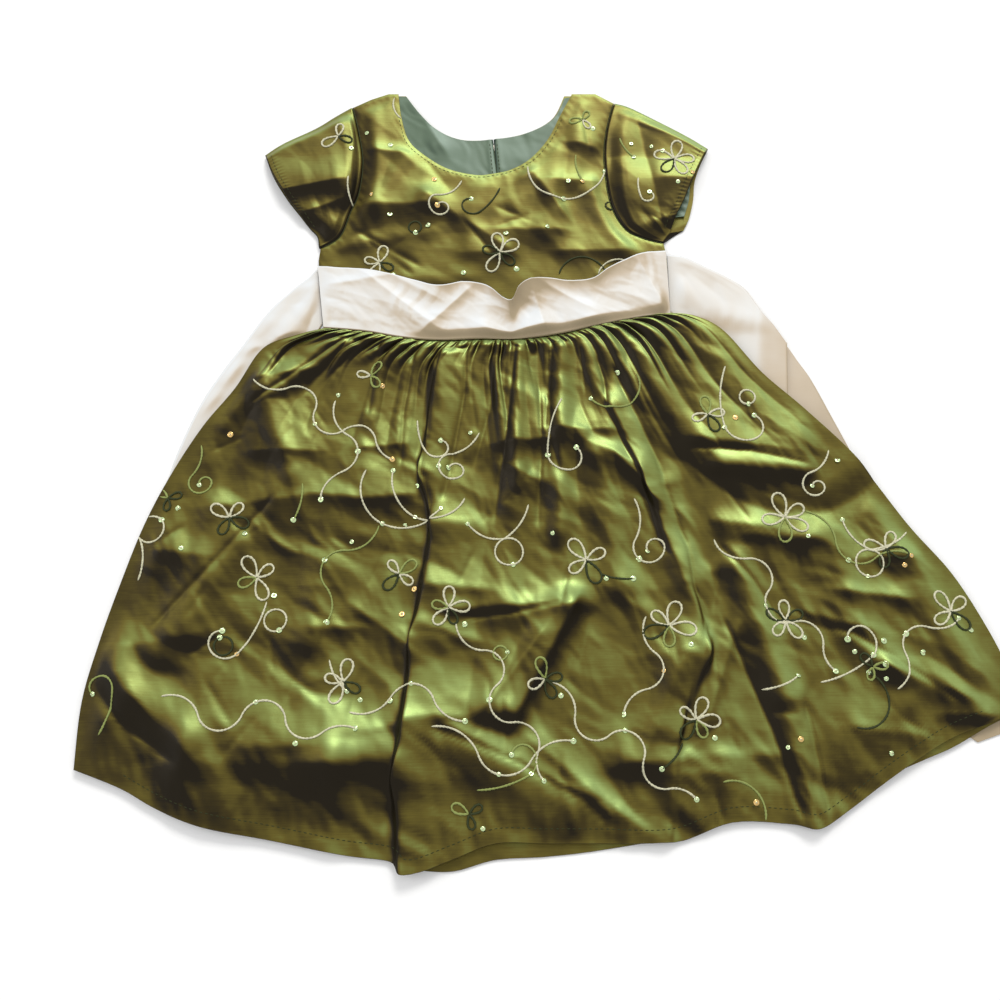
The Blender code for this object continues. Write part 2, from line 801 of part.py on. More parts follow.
def make_skirt_front():
    columns = skirt_columns()
    waist_line = smooth_line(WAIST)
    hem_line = smooth_line([(row[0], row[1]) for row in HEM], 6)
    corner = [(-132, 133.6), (128, 144.6), (-279, -187), (343, -150)]
    lower = []
    for v in SKIRT_ROWS:
        left = skirt_edge(v, 1)
        right = skirt_edge(v, 3)
        for u, gather in columns:
            top_x = -132 + 260 * u
            top = (top_x, value_at(waist_line, top_x, 1) - SEAM_GAP)
            hem_x = -279 + 622 * u
            hem = (hem_x, value_at(hem_line, hem_x, 1))
            x, y = patch(top, hem, left, right, u, v)
            for index, share in enumerate(
                    ((1 - u) * (1 - v), u * (1 - v), (1 - u) * v, u * v)):
                x -= share * corner[index][0]
                y -= share * corner[index][1]
            base = FRONT_LEVEL + 1.15 * tie_lift(x, y, 58.0)
            lower.append((x, y, base + skirt_rise(u, v, x, y, gather)))
    upper = []
    width = len(columns)
    for index, (x, y, z) in enumerate(lower):
        column = index % width
        before = lower[index - 1] if column > 0 else lower[index]
        after = lower[index + 1] if column < width - 1 else lower[index]
        run = max(1.0, math.dist(before[:2], after[:2]))
        steep = min(1.6, abs(after[2] - before[2]) / run)
        upper.append((x, y, z + WALL * math.hypot(1.0, steep)))
    triangles = grid_triangles(len(SKIRT_ROWS), width)
    wall_between("skirt_front", upper, lower, triangles, TAFFETA)


def make_skirt_back():
    loop = [(x, y - SEAM_GAP) for x, y in along(WAIST, 18)][::-1]
    left = smooth_line([(row[1], row[2]) for row in SKIRT_EDGES], 3)
    right = smooth_line([(row[3], row[4]) for row in SKIRT_EDGES], 3)
    loop += without_ends(left)
    loop += smooth_line([(row[0], row[2]) for row in HEM], 2)
    loop += without_ends(right)[::-1]
    cloth_panel(
        "skirt_back", loop, lambda x, y: tie_lift(x, y, 24.0), WALL, 21.0, TAFFETA)


def make_sash_front():
    stations = 40
    across = 5
    sections = along(SASH, stations)
    waist_line = smooth_line(WAIST)
    lower = []
    for row in range(across + 1):
        v = 1.0 - row / across
        for index, (foot_x, top_x, top_y, stand, bulge) in enumerate(sections):
            foot_y = value_at(waist_line, foot_x, 1) + SEAM_GAP * 0.5
            x = foot_x + (top_x - foot_x) * v
            y = foot_y + (top_y - foot_y) * v
            z = SASH_LEVEL + stand * v ** 1.6 + bulge * math.sin(math.pi * v)
            lower.append((x, y, z))
    upper = [(x, y, z + WALL) for x, y, z in lower]
    triangles = grid_triangles(across + 1, stations + 1)
    wall_between("sash_front", upper, lower, triangles, IVORY_SATIN)


def tie_path(rows):
    """Middle points of each section, with the two turns of a tuck rounded."""
    path = []
    for index, row in enumerate(rows):
        level = row[4] + 0.5 * WALL
        path.append((row[0], row[1], row[2], row[3], level))
        if index + 1 == len(rows):
            continue
        drop = row[4] - rows[index + 1][4]
        turns = abs(drop - 1.55) < 0.01
        if turns:
            ahead = 1.0 if row[4] > 2.0 else -1.0
            for angle in (30, 60, 90, 120, 150):
                reach = 0.5 * drop * math.sin(math.radians(angle)) * ahead
                height = level - 0.5 * drop * (1.0 - math.cos(math.radians(angle)))
                path.append((row[0] + reach, row[1], row[2] + reach, row[3], height))
    return path


def mean_way(before, here, after):
    """Mean of the unit ways into and out of a point of a line."""
    ways = []
    for first, second in ((before, here), (here, after)):
        size = math.dist(first, second)
        if size > 0.0:
            ways.append([(b - a) / size for a, b in zip(first, second)])
    return [sum(values) / len(ways) for values in zip(*ways)]


def make_tie(name, rows):
    path = tie_path(rows)
    count = len(path)
    middle = []
    for outer_x, outer_y, inner_x, inner_y, z in path:
        for step in range(TIE_ACROSS + 1):
            share = step / TIE_ACROSS
            x = outer_x + (inner_x - outer_x) * share
            y = outer_y + (inner_y - outer_y) * share
            middle.append((x, y, z))
    width = TIE_ACROSS + 1
    upper = []
    lower = []
    for row in range(count):
        for step in range(width):
            here = middle[row * width + step]
            before = middle[max(0, row - 1) * width + step]
            after = middle[min(count - 1, row + 1) * width + step]
            left = middle[row * width + max(0, step - 1)]
            right = middle[row * width + min(width - 1, step + 1)]
            ax, ay, az = mean_way(before, here, after)
            bx, by, bz = (right[k] - left[k] for k in range(3))
            nx, ny, nz = ay * bz - az * by, az * bx - ax * bz, ax * by - ay * bx
            size = math.sqrt(nx * nx + ny * ny + nz * nz)
            if name == "sash_tie_right":
                size = -size
            half = 0.5 * WALL / size
            upper.append((here[0] + nx * half, here[1] + ny * half, here[2] + nz * half))
            lower.append((here[0] - nx * half, here[1] - ny * half, here[2] - nz * half))
    triangles = grid_triangles(count, width)
    if name == "sash_tie_right":
        triangles = [(a, c, b) for a, b, c in triangles]
    wall_between(name, upper, lower, triangles, IVORY_SATIN)


def make_zip():
    half = 0.5 * ZIP_WIDTH
    levels = (ZIP_LOW, SLIT_LOW[1], ZIP_TOP)
    left = [(split_x(y) - half, y) for y in levels]
    right = [(split_x(y) + half, y) for y in levels]
    cloth_panel("back_zip", right + left[::-1], lambda x, y: 0.05, 1.0, 40.0, ZIP_TAPE)
    low = ZIP_TOP + SEAM_GAP
    high = low + SLIDER_LENGTH
    loop = [
        (split_x(low) - half, low),
        (split_x(low) + half, low),
        (split_x(high) + 0.7 * half, high),
        (split_x(high) - 0.7 * half, high),
    ]
    cloth_panel("zip_slider", loop, lambda x, y: 0.05, 1.0, 40.0, SLIDER_METAL)


def build():
    clear_scene()
    make_skirt_back()
    make_skirt_front()
    make_bodice_back()
    make_back_lining()
    make_bodice_front()
    make_sleeves()
    make_sash_front()
    make_tie("sash_tie_left", TIE_LEFT)
    make_tie("sash_tie_right", TIE_RIGHT)
    make_zip()


build()
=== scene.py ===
# Looks of the laid party dress: fine cloth, embroidery, sequins, lights and camera.
# Sizes are millimetres until a mesh is made, on the same plan as the dress itself.
import math

import bpy
import numpy as np
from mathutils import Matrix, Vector
from mathutils.bvhtree import BVHTree
from mathutils.geometry import delaunay_2d_cdt


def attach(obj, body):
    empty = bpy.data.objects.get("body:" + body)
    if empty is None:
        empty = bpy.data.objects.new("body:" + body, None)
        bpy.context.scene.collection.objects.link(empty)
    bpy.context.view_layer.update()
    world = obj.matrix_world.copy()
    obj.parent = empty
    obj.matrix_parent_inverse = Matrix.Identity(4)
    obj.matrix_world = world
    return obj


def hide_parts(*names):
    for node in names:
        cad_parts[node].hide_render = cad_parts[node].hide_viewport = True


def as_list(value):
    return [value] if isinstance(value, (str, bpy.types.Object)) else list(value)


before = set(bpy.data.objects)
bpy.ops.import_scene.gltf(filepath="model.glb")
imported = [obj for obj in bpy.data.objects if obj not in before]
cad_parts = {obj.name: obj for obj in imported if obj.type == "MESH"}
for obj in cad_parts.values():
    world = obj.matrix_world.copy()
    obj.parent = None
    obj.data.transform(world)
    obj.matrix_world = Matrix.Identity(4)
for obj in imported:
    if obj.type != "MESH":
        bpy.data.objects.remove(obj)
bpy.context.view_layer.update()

MM = 0.001
# The middle of the laid dress's box on plan
CENTRE_X = 31.99
CENTRE_Y = 45.99
# Walls, gaps and levels
WALL = 1.2
LAYER_GAP = 0.35
SEAM_GAP = 0.4
FRONT_LEVEL = WALL + LAYER_GAP
OVER_LINING = 2.9

# Outlines
WAIST = [
    (-132, 134), (-101, 131), (-73, 126), (-44, 124), (-15, 125),
    (13, 125), (43, 129), (72, 136), (101, 142), (128, 145)]
NECK_FRONT = [
    (-82, 344), (-79, 322), (-73, 301), (-62, 288), (-42, 274), (-20, 268),
    (-6, 269), (9, 273), (24, 283), (38, 301), (48, 323), (58, 344)]
NECK_BACK = [
    (-76, 344), (-64, 326), (-50, 311), (-29, 302), (-3, 303), (22, 309), (42, 322), (52, 344)]
SLIT_TOP = (-5.5, 303)
SLIT_LOW = (-2.0, 262)
SHOULDER_LEFT = [(-119, 331), (-104, 338.5), (-90, 344)]
SHOULDER_RIGHT = [(77, 344), (92, 335)]
ARMHOLE_LEFT = [
    (-119, 331), (-113, 306), (-109, 280), (-111, 252), (-117, 234), (-124, 213), (-138, 202.5)]
ARMHOLE_RIGHT = [
    (92, 335), (86, 312), (83, 288), (84, 262), (88, 238), (98, 219), (112, 211), (126, 207)]
SLEEVE_TOP_LEFT = [(-119, 331), (-132, 322), (-147, 311), (-172, 297), (-186, 286)]
CUFF_LEFT = [(-186, 286), (-178, 266), (-166, 246), (-155, 231), (-146.5, 219.5)]
UNDERARM_LEFT = [(-139.2, 203.5), (-141, 213), (-146.5, 219.5)]
SLEEVE_TOP_RIGHT = [(92, 335), (104, 331), (131, 315), (150, 303), (165, 292)]
CUFF_RIGHT_FRONT = [(165, 292), (157, 276), (149, 258), (143, 243), (136, 229), (131, 216)]
CUFF_RIGHT_BACK = [(165, 292), (158, 277), (153, 262), (151, 246), (147, 230), (142, 219)]
UNDERARM_RIGHT_FRONT = [(126.6, 208), (128.5, 212), (131, 216)]
UNDERARM_RIGHT_BACK = [(126.6, 208), (133, 213), (142, 219)]
SLEEVE_HEIGHT = 5.0
# columns: share of the way down, left x, left y, right x, right y
SKIRT_EDGES = [
    (0.00, -132, 133.6, 128, 144.6), (0.07, -152, 128, 146, 142), (0.16, -176, 117, 166, 130),
    (0.26, -194, 85, 192, 96), (0.38, -215, 55, 222, 66), (0.50, -235, 17, 256, 28),
    (0.62, -250, -20, 287, -20), (0.74, -262, -62, 313, -55), (0.85, -272, -103, 332, -93),
    (0.93, -279, -143, 342, -122), (1.00, -279, -187, 343, -150)]
# columns: x, front y, back y
HEM = [
    (-279, -187, -185), (-247, -199, -195), (-222, -212, -208), (-192, -223, -219),
    (-148, -231, -227), (-101, -240, -236), (-70, -244, -241), (-58, -252, -248),
    (-31, -243, -250), (-3, -233, -243), (30, -233, -241), (65, -233, -237),
    (111, -233, -229), (150, -220, -216), (188, -221, -217), (206, -224, -220),
    (227, -212, -208), (253, -194, -192), (278, -178, -181), (300, -166, -172),
    (324, -157, -159), (343, -150, -150)]
GATHERS = 33
GATHER_SEAM_RISE = 1.3
GATHER_RISE = 4.6
# columns: first x, first y, second x, second y, left width, right width, height
SKIRT_FOLDS = [
    (-116, 122, -173, 77, 9, 12, 5.0), (-173, 77, -150, 20, 12, 12, 4.0),
    (-42, 110, -51, 20, 22, 5, 6.5), (-51, 20, -42, -20, 24, 5, 6.0),
    (-42, -20, -53, -101, 26, 6, 7.0), (-53, -101, -62, -193, 30, 6, 7.5),
    (-62, -193, -60, -252, 30, 6, 6.5), (12, 118, 12, 10, 8, 8, 6.0),
    (45, 120, 42, -20, 9, 8, 5.5), (12, 10, -6, -146, 13, 16, 4.5),
    (48, -78, 4, -146, 12, 14, 6.0), (86, 70, 112, 10, 14, 7, 7.0),
    (112, 10, 128, -60, 14, 7, 6.5), (158, 23, 214, 20, 10, 9, 5.0),
    (128, -44, 134, -109, 7, 18, 6.0), (134, -109, 112, -162, 7, 20, 6.0),
    (112, -162, 104, -232, 7, 20, 4.0), (163, -50, 190, -141, 12, 12, 7.0),
    (190, -141, 203, -221, 12, 12, 6.0), (-41, -163, 50, -210, 14, 18, 5.5),
    (50, -210, 100, -230, 10, 16, 3.5), (-263, -120, -205, -165, 16, 14, 5.0),
    (-185, -35, -228, -110, 14, 16, 4.5), (-100, 20, -130, -100, 16, 16, 4.0),
    (-120, -185, -85, -175, 12, 14, 4.0), (70, 30, 84, -60, 12, 14, 4.0),
    (225, -30, 270, -140, 18, 18, 4.0), (265, -10, 318, -120, 14, 16, 3.0)]
BODICE_FOLDS = [
    (-100, 318, -96, 240, 8, 10, 3.2), (-70, 285, -110, 225, 8, 9, 2.8),
    (-45, 262, -70, 205, 9, 10, 2.6), (-15, 258, -25, 205, 9, 9, 2.4),
    (20, 268, 10, 205, 9, 8, 2.6), (45, 285, 35, 215, 9, 10, 3.2),
    (66, 330, 58, 262, 7, 8, 3.0), (70, 250, 96, 203, 9, 10, 3.4),
    (-120, 205, -60, 215, 8, 7, 2.4)]
# columns: x at its foot, x at its top, top y, height of the top edge, bulge
SASH = [
    (-132, -139, 186, 0.4, 0.6), (-122, -128, 185, 1.0, 1.6), (-100, -103, 183, 1.5, 2.4),
    (-84, -86, 179, 2.0, 2.6), (-68, -66, 173, 3.0, 2.4), (-54, -52, 168, 4.5, 2.0),
    (-42, -42, 167, 5.5, 2.4), (-28, -28, 170, 5.0, 3.2), (-14, -14, 168, 6.0, 3.0),
    (-6, -6, 163, 8.0, 1.6), (2, 2, 155, 9.0, 0.8), (9, 9, 152, 11.0, 0.8),
    (15, 14, 162, 12.0, 1.5), (22, 22, 169, 10.0, 2.4), (36, 36, 172, 7.0, 3.4),
    (54, 53, 171, 5.0, 3.4), (70, 70, 173, 5.0, 3.0), (84, 82, 182, 5.0, 2.6),
    (98, 96, 190, 4.0, 2.4), (114, 111, 197, 2.0, 1.8), (128, 127, 199.5, 0.4, 0.6)]
SASH_LEVEL = FRONT_LEVEL + WALL + LAYER_GAP
# columns: outer x, outer y, inner x, inner y, level of the underside
TIE_LEFT = [
    (-139.6, 186, -133.6, 139, 0), (-146, 178, -138, 130, 0), (-157, 168, -141, 121, 0),
    (-175, 148, -148, 104, 0), (-193, 119, -152, 86, 0), (-205, 100, -158, 72, 0),
    (-218, 76, -168, 52, 0), (-229, 47, -176, 30, 0), (-237, 18, -183, 6, 0),
    (-242, -20, -188, -25, 0), (-244, -70, -190, -72, 0), (-243, -120, -189, -119, 0),
    (-240, -165, -186, -160, 0)]
TUCK_TOP = 3.1
TUCK_MIDDLE = 1.55
TIE_RIGHT = [
    (128.6, 198, 128.6, 149, 0), (139, 197, 139, 141, 0), (156, 188, 148, 130, 0),
    (172, 179, 160, 117, 0), (185, 169, 172, 102, 0.6), (193, 155, 181, 92, 2.1),
    (197, 147, 189, 84, TUCK_TOP), (205, 136, 198, 76, TUCK_TOP), (213, 122, 209, 67, TUCK_TOP),
    (207, 128, 197.5, 69, TUCK_MIDDLE), (201, 133, 186, 70.5, TUCK_MIDDLE),
    (205, 130, 187.5, 68.5, 0), (213, 122, 188.5, 66.5, 0), (221, 108, 189, 64.5, 0),
    (230, 92, 189.5, 61, 0), (243, 61, 195, 40, 0),
    (259, 23, 211, 2, 0), (281, -25, 233, -46, 0), (303, -74, 255, -95, 0),
    (322, -117, 274, -138, 0), (343.5, -160, 317, -169, 0)]

# Sums on plan
def smooth(value):
    value = np.clip(value, 0.0, 1.0)
    return value * value * (3.0 - 2.0 * value)


def neighbours(points, k):
    return points[max(0, k - 1)], points[k], points[k + 1], points[min(len(points) - 1, k + 2)]


def curve_point(a, b, c, d, t):
    """A place between b and c on the smooth curve through a, b, c and d."""
    m0, m1 = 0.5 * (c - a), 0.5 * (d - b)
    return b + t * m0 + t * t * (3 * (c - b) - 2 * m0 - m1) + t ** 3 * (2 * (b - c) + m0 + m1)


def spline(points, steps=8):
    points = np.array(points, float)
    line = [curve_point(*neighbours(points, k), step / steps)
            for k in range(len(points) - 1) for step in range(steps)]
    return np.array(line + [points[-1]])


def distances(line):
    """How far along a line each of its points lies."""
    return np.concatenate([[0], np.cumsum(np.hypot(*np.diff(line[:, :2], axis=0).T))])


def columns_at(line, place, at):
    """The line's columns where its rising measure, place, has the values asked for."""
    return np.stack([np.interp(at, place, column) for column in line.T], -1)


def along(points, count, steps=8):
    """An even line of count steps through the points."""
    line = spline(points, steps)
    length = distances(line)
    return columns_at(line, length, np.linspace(0, length[-1], count + 1))


def read_line(line, at):
    """Points at shares 0 to 1 of an even line."""
    return columns_at(line, np.linspace(0, 1, len(line)), at)


def patch(first, last, left, right, across, down, corners):
    """A plan stretched between four edges, as grids of x and y. The corners go row by row."""
    a, b = down[:, None, None], across[None, :, None]
    plan = (1 - a) * first[None] + a * last[None] + (1 - b) * left[:, None] + b * right[:, None]
    one, two, three, four = np.array(corners, float)
    plan = plan - (1 - a) * ((1 - b) * one + b * two) - a * ((1 - b) * three + b * four)
    return plan[..., 0], plan[..., 1]


def fold_parts(x, y, row, end=14.0):
    """Distance to one side of a fold's line, the fold's width on that side, and its fade past the ends."""
    x0, y0, x1, y1, left, right, height = row
    length = math.hypot(x1 - x0, y1 - y0)
    share = ((x - x0) * (x1 - x0) + (y - y0) * (y1 - y0)) / length ** 2
    side = ((x1 - x0) * (y - y0) - (y1 - y0) * (x - x0)) / length
    beyond = np.maximum(0, np.maximum(-share, share - 1)) * length
    return side, np.where(side > 0, left, right), np.exp(-((beyond / end) ** 2))


def fold_rise(x, y, folds):
    rise = np.zeros_like(x)
    for row in folds:
        side, width, ends = fold_parts(x, y, row)
        one = row[6] * np.exp(-((side / width) ** 2)) * ends
        rise = np.maximum(rise, one) + 0.25 * np.minimum(rise, one)
    return rise


def ridge_rise(x, y, rows):
    """Small soft ridges that add up; one of negative height is a trough."""
    rise = np.zeros_like(x)
    for row in rows:
        side, width, ends = fold_parts(x, y, row, 12.0)
        rise += row[6] * np.exp(-((np.abs(side) / width) ** 1.25)) * ends
    return rise


def cut_creases(x, y, rows):
    """Narrow valleys pressed into the cloth."""
    depth = np.zeros_like(x)
    for x0, y0, x1, y1, width, deep in rows:
        side, _, ends = fold_parts(x, y, (x0, y0, x1, y1, 1, 1, 1), 6.0)
        depth = np.maximum(depth, deep * ends * np.exp(-np.sqrt(side * side + 0.3) / (1.3 * width)))
    return depth


def distance_to_line(x, y, line):
    best = np.full(x.shape, 1e18)
    for a, b in zip(line[:-1], line[1:]):
        dx, dy = b[0] - a[0], b[1] - a[1]
        size = dx * dx + dy * dy
        if size == 0:
            continue
        t = np.clip(((x - a[0]) * dx + (y - a[1]) * dy) / size, 0, 1)
        best = np.minimum(best, (x - a[0] - t * dx) ** 2 + (y - a[1] - t * dy) ** 2)
    return np.sqrt(best)


def inside(x, y, loop):
    hit = np.zeros(x.shape, bool)
    for a, b in zip(loop, np.roll(loop, -1, 0)):
        if a[1] == b[1]:
            continue
        cross = a[0] + (y - a[1]) * (b[0] - a[0]) / (b[1] - a[1])
        hit ^= ((a[1] > y) != (b[1] > y)) & (x < cross)
    return hit


def closed(loop):
    return np.vstack([loop, loop[:1]])


def strip_outline(rows):
    rows = np.array(rows)
    return np.vstack([rows[:, :2], rows[::-1, 2:4]])


# What lifts the cloth over the ties. columns: outline, height, width of the slope beside it
UNDER_TIES = [
    (strip_outline(TIE_LEFT), FRONT_LEVEL, 24.0), (strip_outline(TIE_RIGHT[:9]), FRONT_LEVEL, 24.0),
    (strip_outline(TIE_RIGHT[11:]), FRONT_LEVEL, 24.0),
    (strip_outline(TIE_RIGHT[4:9]), TUCK_TOP + FRONT_LEVEL, 34.0)]


def tie_lift(x, y, spread):
    lift = np.zeros_like(x)
    for outline, height, slope in UNDER_TIES:
        away = np.where(inside(x, y, outline), 0, distance_to_line(x, y, closed(outline)))
        lift = np.maximum(lift, height * (1 - smooth((away - spread) / slope)))
    return lift


# Rows and columns of the table of random heights that noise repeats
LATTICE = 97


def noise(x, y, cell, seed, sharp=False):
    """Random heights on a slanted lattice: flat facets when sharp, else soft."""
    values = np.random.default_rng(seed).uniform(-1, 1, (LATTICE, LATTICE))
    s = (x + 0.577 * y) / cell + 300.3
    t = 1.155 * y / cell + 300.7
    i, j = np.floor(s).astype(int), np.floor(t).astype(int)
    s, t = s - i, t - j
    if not sharp:
        s, t = s * s * (3 - 2 * s), t * t * (3 - 2 * t)
    i, j, right, up = i % LATTICE, j % LATTICE, (i + 1) % LATTICE, (j + 1) % LATTICE
    a, b, c, d = values[i, j], values[right, j], values[i, up], values[right, up]
    if not sharp:
        return a + (b - a) * s + (c - a) * t + (a - b - c + d) * s * t
    low = a + s * (b - a) + t * (c - a)
    high = d + (1 - s) * (c - d) + (1 - t) * (b - d)
    return np.where(s + t < 1, low, high)


def crumple(x, y, size, seed):
    """Sharp-creased facets of two sizes, bent a little so that no lattice shows."""
    wx = x + 0.45 * size * noise(x, y, 1.3 * size, seed + 1)
    wy = y + 0.45 * size * noise(x, y, 1.3 * size, seed + 2)
    big = noise(wx, wy, size, seed + 3, True)
    small = noise(wy + 0.3 * wx, wx, 0.42 * size, seed + 4, True)
    return big + 0.34 * small


# Mesh helpers
def to_world(points):
    points = np.asarray(points, float)
    return (points - np.array([CENTRE_X, CENTRE_Y, 0.0])) * MM


def new_mesh(name, points, faces, mats, face_mats=None, smooth_faces=True):
    mesh = bpy.data.meshes.new(name)
    points = to_world(points)
    faces = np.asarray(faces, np.int32)
    width = faces.shape[1]
    mesh.vertices.add(len(points))
    mesh.vertices.foreach_set("co", points.astype(np.float32).ravel())
    mesh.loops.add(faces.size)
    mesh.loops.foreach_set("vertex_index", faces.ravel())
    mesh.polygons.add(len(faces))
    mesh.polygons.foreach_set("loop_start", np.arange(0, faces.size, width, dtype=np.int32))
    mesh.polygons.foreach_set("use_smooth", np.full(len(faces), smooth_faces))
    for mat in mats:
        mesh.materials.append(mat)
    if face_mats is not None:
        mesh.polygons.foreach_set("material_index", np.asarray(face_mats, np.int32))
    mesh.update(calc_edges=True)
    made = bpy.data.objects.new(name, mesh)
    bpy.context.scene.collection.objects.link(made)
    return made


def grid_faces(rows, columns, wrap=False):
    r, c = np.meshgrid(np.arange(rows - 1), np.arange(columns if wrap else columns - 1), indexing="ij")
    a = r * columns + c
    b = r * columns + (c + 1) % columns
    return np.stack([a, b, b + columns, a + columns], -1).reshape(-1, 4)


def grid_mesh(name, grid, mat, flip, wrap=False):
    faces = grid_faces(*grid.shape[:2], wrap)
    return new_mesh(name, grid.reshape(-1, 3), faces[:, ::-1] if flip else faces, [mat])


def turned_edge(edge, way, rows, lowest):
    """Copies of an edge moved out and down, for cloth that is turned under."""
    strips = []
    for reach, drop in rows:
        strip = edge + way * reach
        strip[:, 2] = np.maximum(lowest, strip[:, 2] - drop)
        strips.append(strip)
    return np.array(strips)


def turn_sides(grid, ways, rows, lowest):
    """The grid with turned edges added along its first and last columns."""
    first = turned_edge(grid[:, 0], ways[0], rows, lowest).swapaxes(0, 1)
    last = turned_edge(grid[:, -1], ways[1], rows, lowest).swapaxes(0, 1)
    return np.concatenate([first[:, ::-1], grid, last], 1)


def piece(made, slot_name, *nodes):
    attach(made, "root")
    if nodes:
        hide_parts(*nodes)
    return made


# A panel's turned edge, for a rim of 1 mm. columns: reach outwards, drop
PANEL_RIM = np.array(((0.05, 0), (0.12, 0.3), (0.12, 0.75), (-0.4, 1.0), (-2.5, 1.0)))
PANEL_LOWEST = 0.12


def cloth_panel(name, outline, level, spacing, mat, rim):
    """A flat-cut panel meshed inside its outline, with its edge turned down."""
    outline = np.asarray(outline, float)
    low, high = outline.min(0), outline.max(0)
    ys = np.arange(low[1], high[1], spacing * 0.866)
    grid = []
    for row, y in enumerate(ys):
        xs = np.arange(low[0] + (row % 2) * spacing * 0.5, high[0], spacing)
        grid.append(np.stack([xs, np.full_like(xs, y)], 1))
    grid = np.vstack(grid)
    grid = grid[inside(*grid.T, outline)]
    points = np.vstack([outline, grid[distance_to_line(*grid.T, closed(outline)) > 0.5 * spacing]])
    count = len(outline)
    found = delaunay_2d_cdt(
        [Vector(p) for p in points], [(k, (k + 1) % count) for k in range(count)], [], 1, 1e-5)
    plan = np.array([(p[0], p[1]) for p in found[0]])
    faces = np.array([f for f in found[2] if len(f) == 3])
    a, b, c = plan[faces[:, 0]], plan[faces[:, 1]], plan[faces[:, 2]]
    turn = (b[:, 0] - a[:, 0]) * (c[:, 1] - a[:, 1]) - (b[:, 1] - a[:, 1]) * (c[:, 0] - a[:, 0])
    faces[turn < 0] = faces[turn < 0][:, ::-1]
    points = np.column_stack([plan, level(plan[:, 0], plan[:, 1])])
    edges = dict.fromkeys((int(face[k]), int(face[(k + 1) % 3])) for face in faces for k in range(3))
    follow = {a: b for a, b in edges if (b, a) not in edges}
    ring = [next(iter(follow))]
    while follow[ring[-1]] != ring[0]:
        ring.append(follow[ring[-1]])
    base = points[ring]
    step = np.roll(base, -1, 0)[:, :2] - np.roll(base, 1, 0)[:, :2]
    step /= np.maximum(np.hypot(*step.T), 1e-9)[:, None]
    out = np.column_stack([step[:, 1], -step[:, 0], np.zeros(len(ring))])
    turned = turned_edge(base, out, PANEL_RIM * (1.0, rim), PANEL_LOWEST)
    numbers = np.concatenate([ring, np.arange(len(PANEL_RIM) * len(ring)) + len(points)])
    quads = numbers[grid_faces(len(PANEL_RIM) + 1, len(ring), True)]
    faces = np.vstack([faces, quads[:, [0, 3, 2]], quads[:, [0, 2, 1]]])
    return new_mesh(name, np.vstack([points, turned.reshape(-1, 3)]), faces, [mat])


# Materials
def base_material(name, roughness, metallic, specular):
    mat = bpy.data.materials.new(name)
    mat.use_nodes = True
    nodes, links = mat.node_tree.nodes, mat.node_tree.links
    shader = nodes["Principled BSDF"]
    shader.inputs["Roughness"].default_value = roughness
    shader.inputs["Metallic"].default_value = metallic
    shader.inputs["Specular IOR Level"].default_value = specular
    return mat, nodes, links, shader


def add_node(nodes, kind, **settings):
    made = nodes.new(kind)
    for key, value in settings.items():
        setattr(made, key, value)
    return made


def scaled_noise(nodes, links, scale, detail):
    """Noise over the cloth; scale is waves per metre along X, Y and Z."""
    where = add_node(nodes, "ShaderNodeTexCoord")
    mapping = add_node(nodes, "ShaderNodeMapping")
    mapping.inputs["Scale"].default_value = scale
    links.new(where.outputs["Object"], mapping.inputs["Vector"])
    made = add_node(nodes, "ShaderNodeTexNoise")
    made.inputs["Scale"].default_value = 1.0
    made.inputs["Detail"].default_value = detail
    made.inputs["Roughness"].default_value = 0.55
    links.new(mapping.outputs["Vector"], made.inputs["Vector"])
    return made.outputs["Fac"]


def ramp(nodes, links, value, stops):
    made = nodes.new("ShaderNodeValToRGB")
    bar = made.color_ramp
    while len(bar.elements) < len(stops):
        bar.elements.new(0.5)
    for element, (place, colour) in zip(bar.elements, stops):
        element.position = place
        element.color = (*colour, 1.0)
    links.new(value, made.inputs["Fac"])
    return made.outputs["Color"]


def math_node(nodes, links, operation, first, second=0.0):
    made = add_node(nodes, "ShaderNodeMath", operation=operation)
    for socket, value in zip(made.inputs, (first, second)):
        if hasattr(value, "links"):
            links.new(value, socket)
        else:
            socket.default_value = value
    return made.outputs[0]


def multiply_add(nodes, links, value, gain, shift):
    made = math_node(nodes, links, "MULTIPLY_ADD", value, gain)
    made.node.inputs[2].default_value = shift
    return made


def weave_height(nodes, links, pitch, slub):
    """Plain weave: crossed threads of one pitch, with thicker weft slubs."""
    where = add_node(nodes, "ShaderNodeTexCoord")
    waves = []
    for axis, scale in (("X", 1.0), ("Y", 0.8)):
        wave = add_node(nodes, "ShaderNodeTexWave", wave_type="BANDS", bands_direction=axis)
        wave.inputs["Scale"].default_value = scale * 0.314 / (pitch * MM)
        wave.inputs["Distortion"].default_value = 0.6
        wave.inputs["Detail"].default_value = 1.0
        links.new(where.outputs["Object"], wave.inputs["Vector"])
        waves.append(wave.outputs["Fac"])
    both = math_node(nodes, links, "ADD", waves[0], waves[1])
    fine = math_node(nodes, links, "MULTIPLY", both, 0.5)
    return math_node(nodes, links, "ADD", fine, math_node(nodes, links, "MULTIPLY", slub, 1.4))


def slope_for_painted_light(nodes, links, direction):
    """How far the cloth slopes to a direction fixed to the dress, and how level it lies: the measures that
    paint highlight and shade into its colour.
    """
    normal = add_node(nodes, "ShaderNodeNewGeometry")
    product = add_node(nodes, "ShaderNodeVectorMath", operation="DOT_PRODUCT")
    links.new(normal.outputs["Normal"], product.inputs[0])
    product.inputs[1].default_value = direction
    split = add_node(nodes, "ShaderNodeSeparateXYZ")
    links.new(normal.outputs["Normal"], split.inputs[0])
    level = math_node(nodes, links, "ABSOLUTE", split.outputs["Z"])
    return math_node(nodes, links, "MULTIPLY", product.outputs["Value"], level), level


# Painted shade that darkens a cloth's tone, starting only at a place along X, in metres
PAINTED_SHADE_PAST = {"painted shade far left": ("MINIMUM", -0.1), "painted shade far right": ("MAXIMUM", 0.1)}


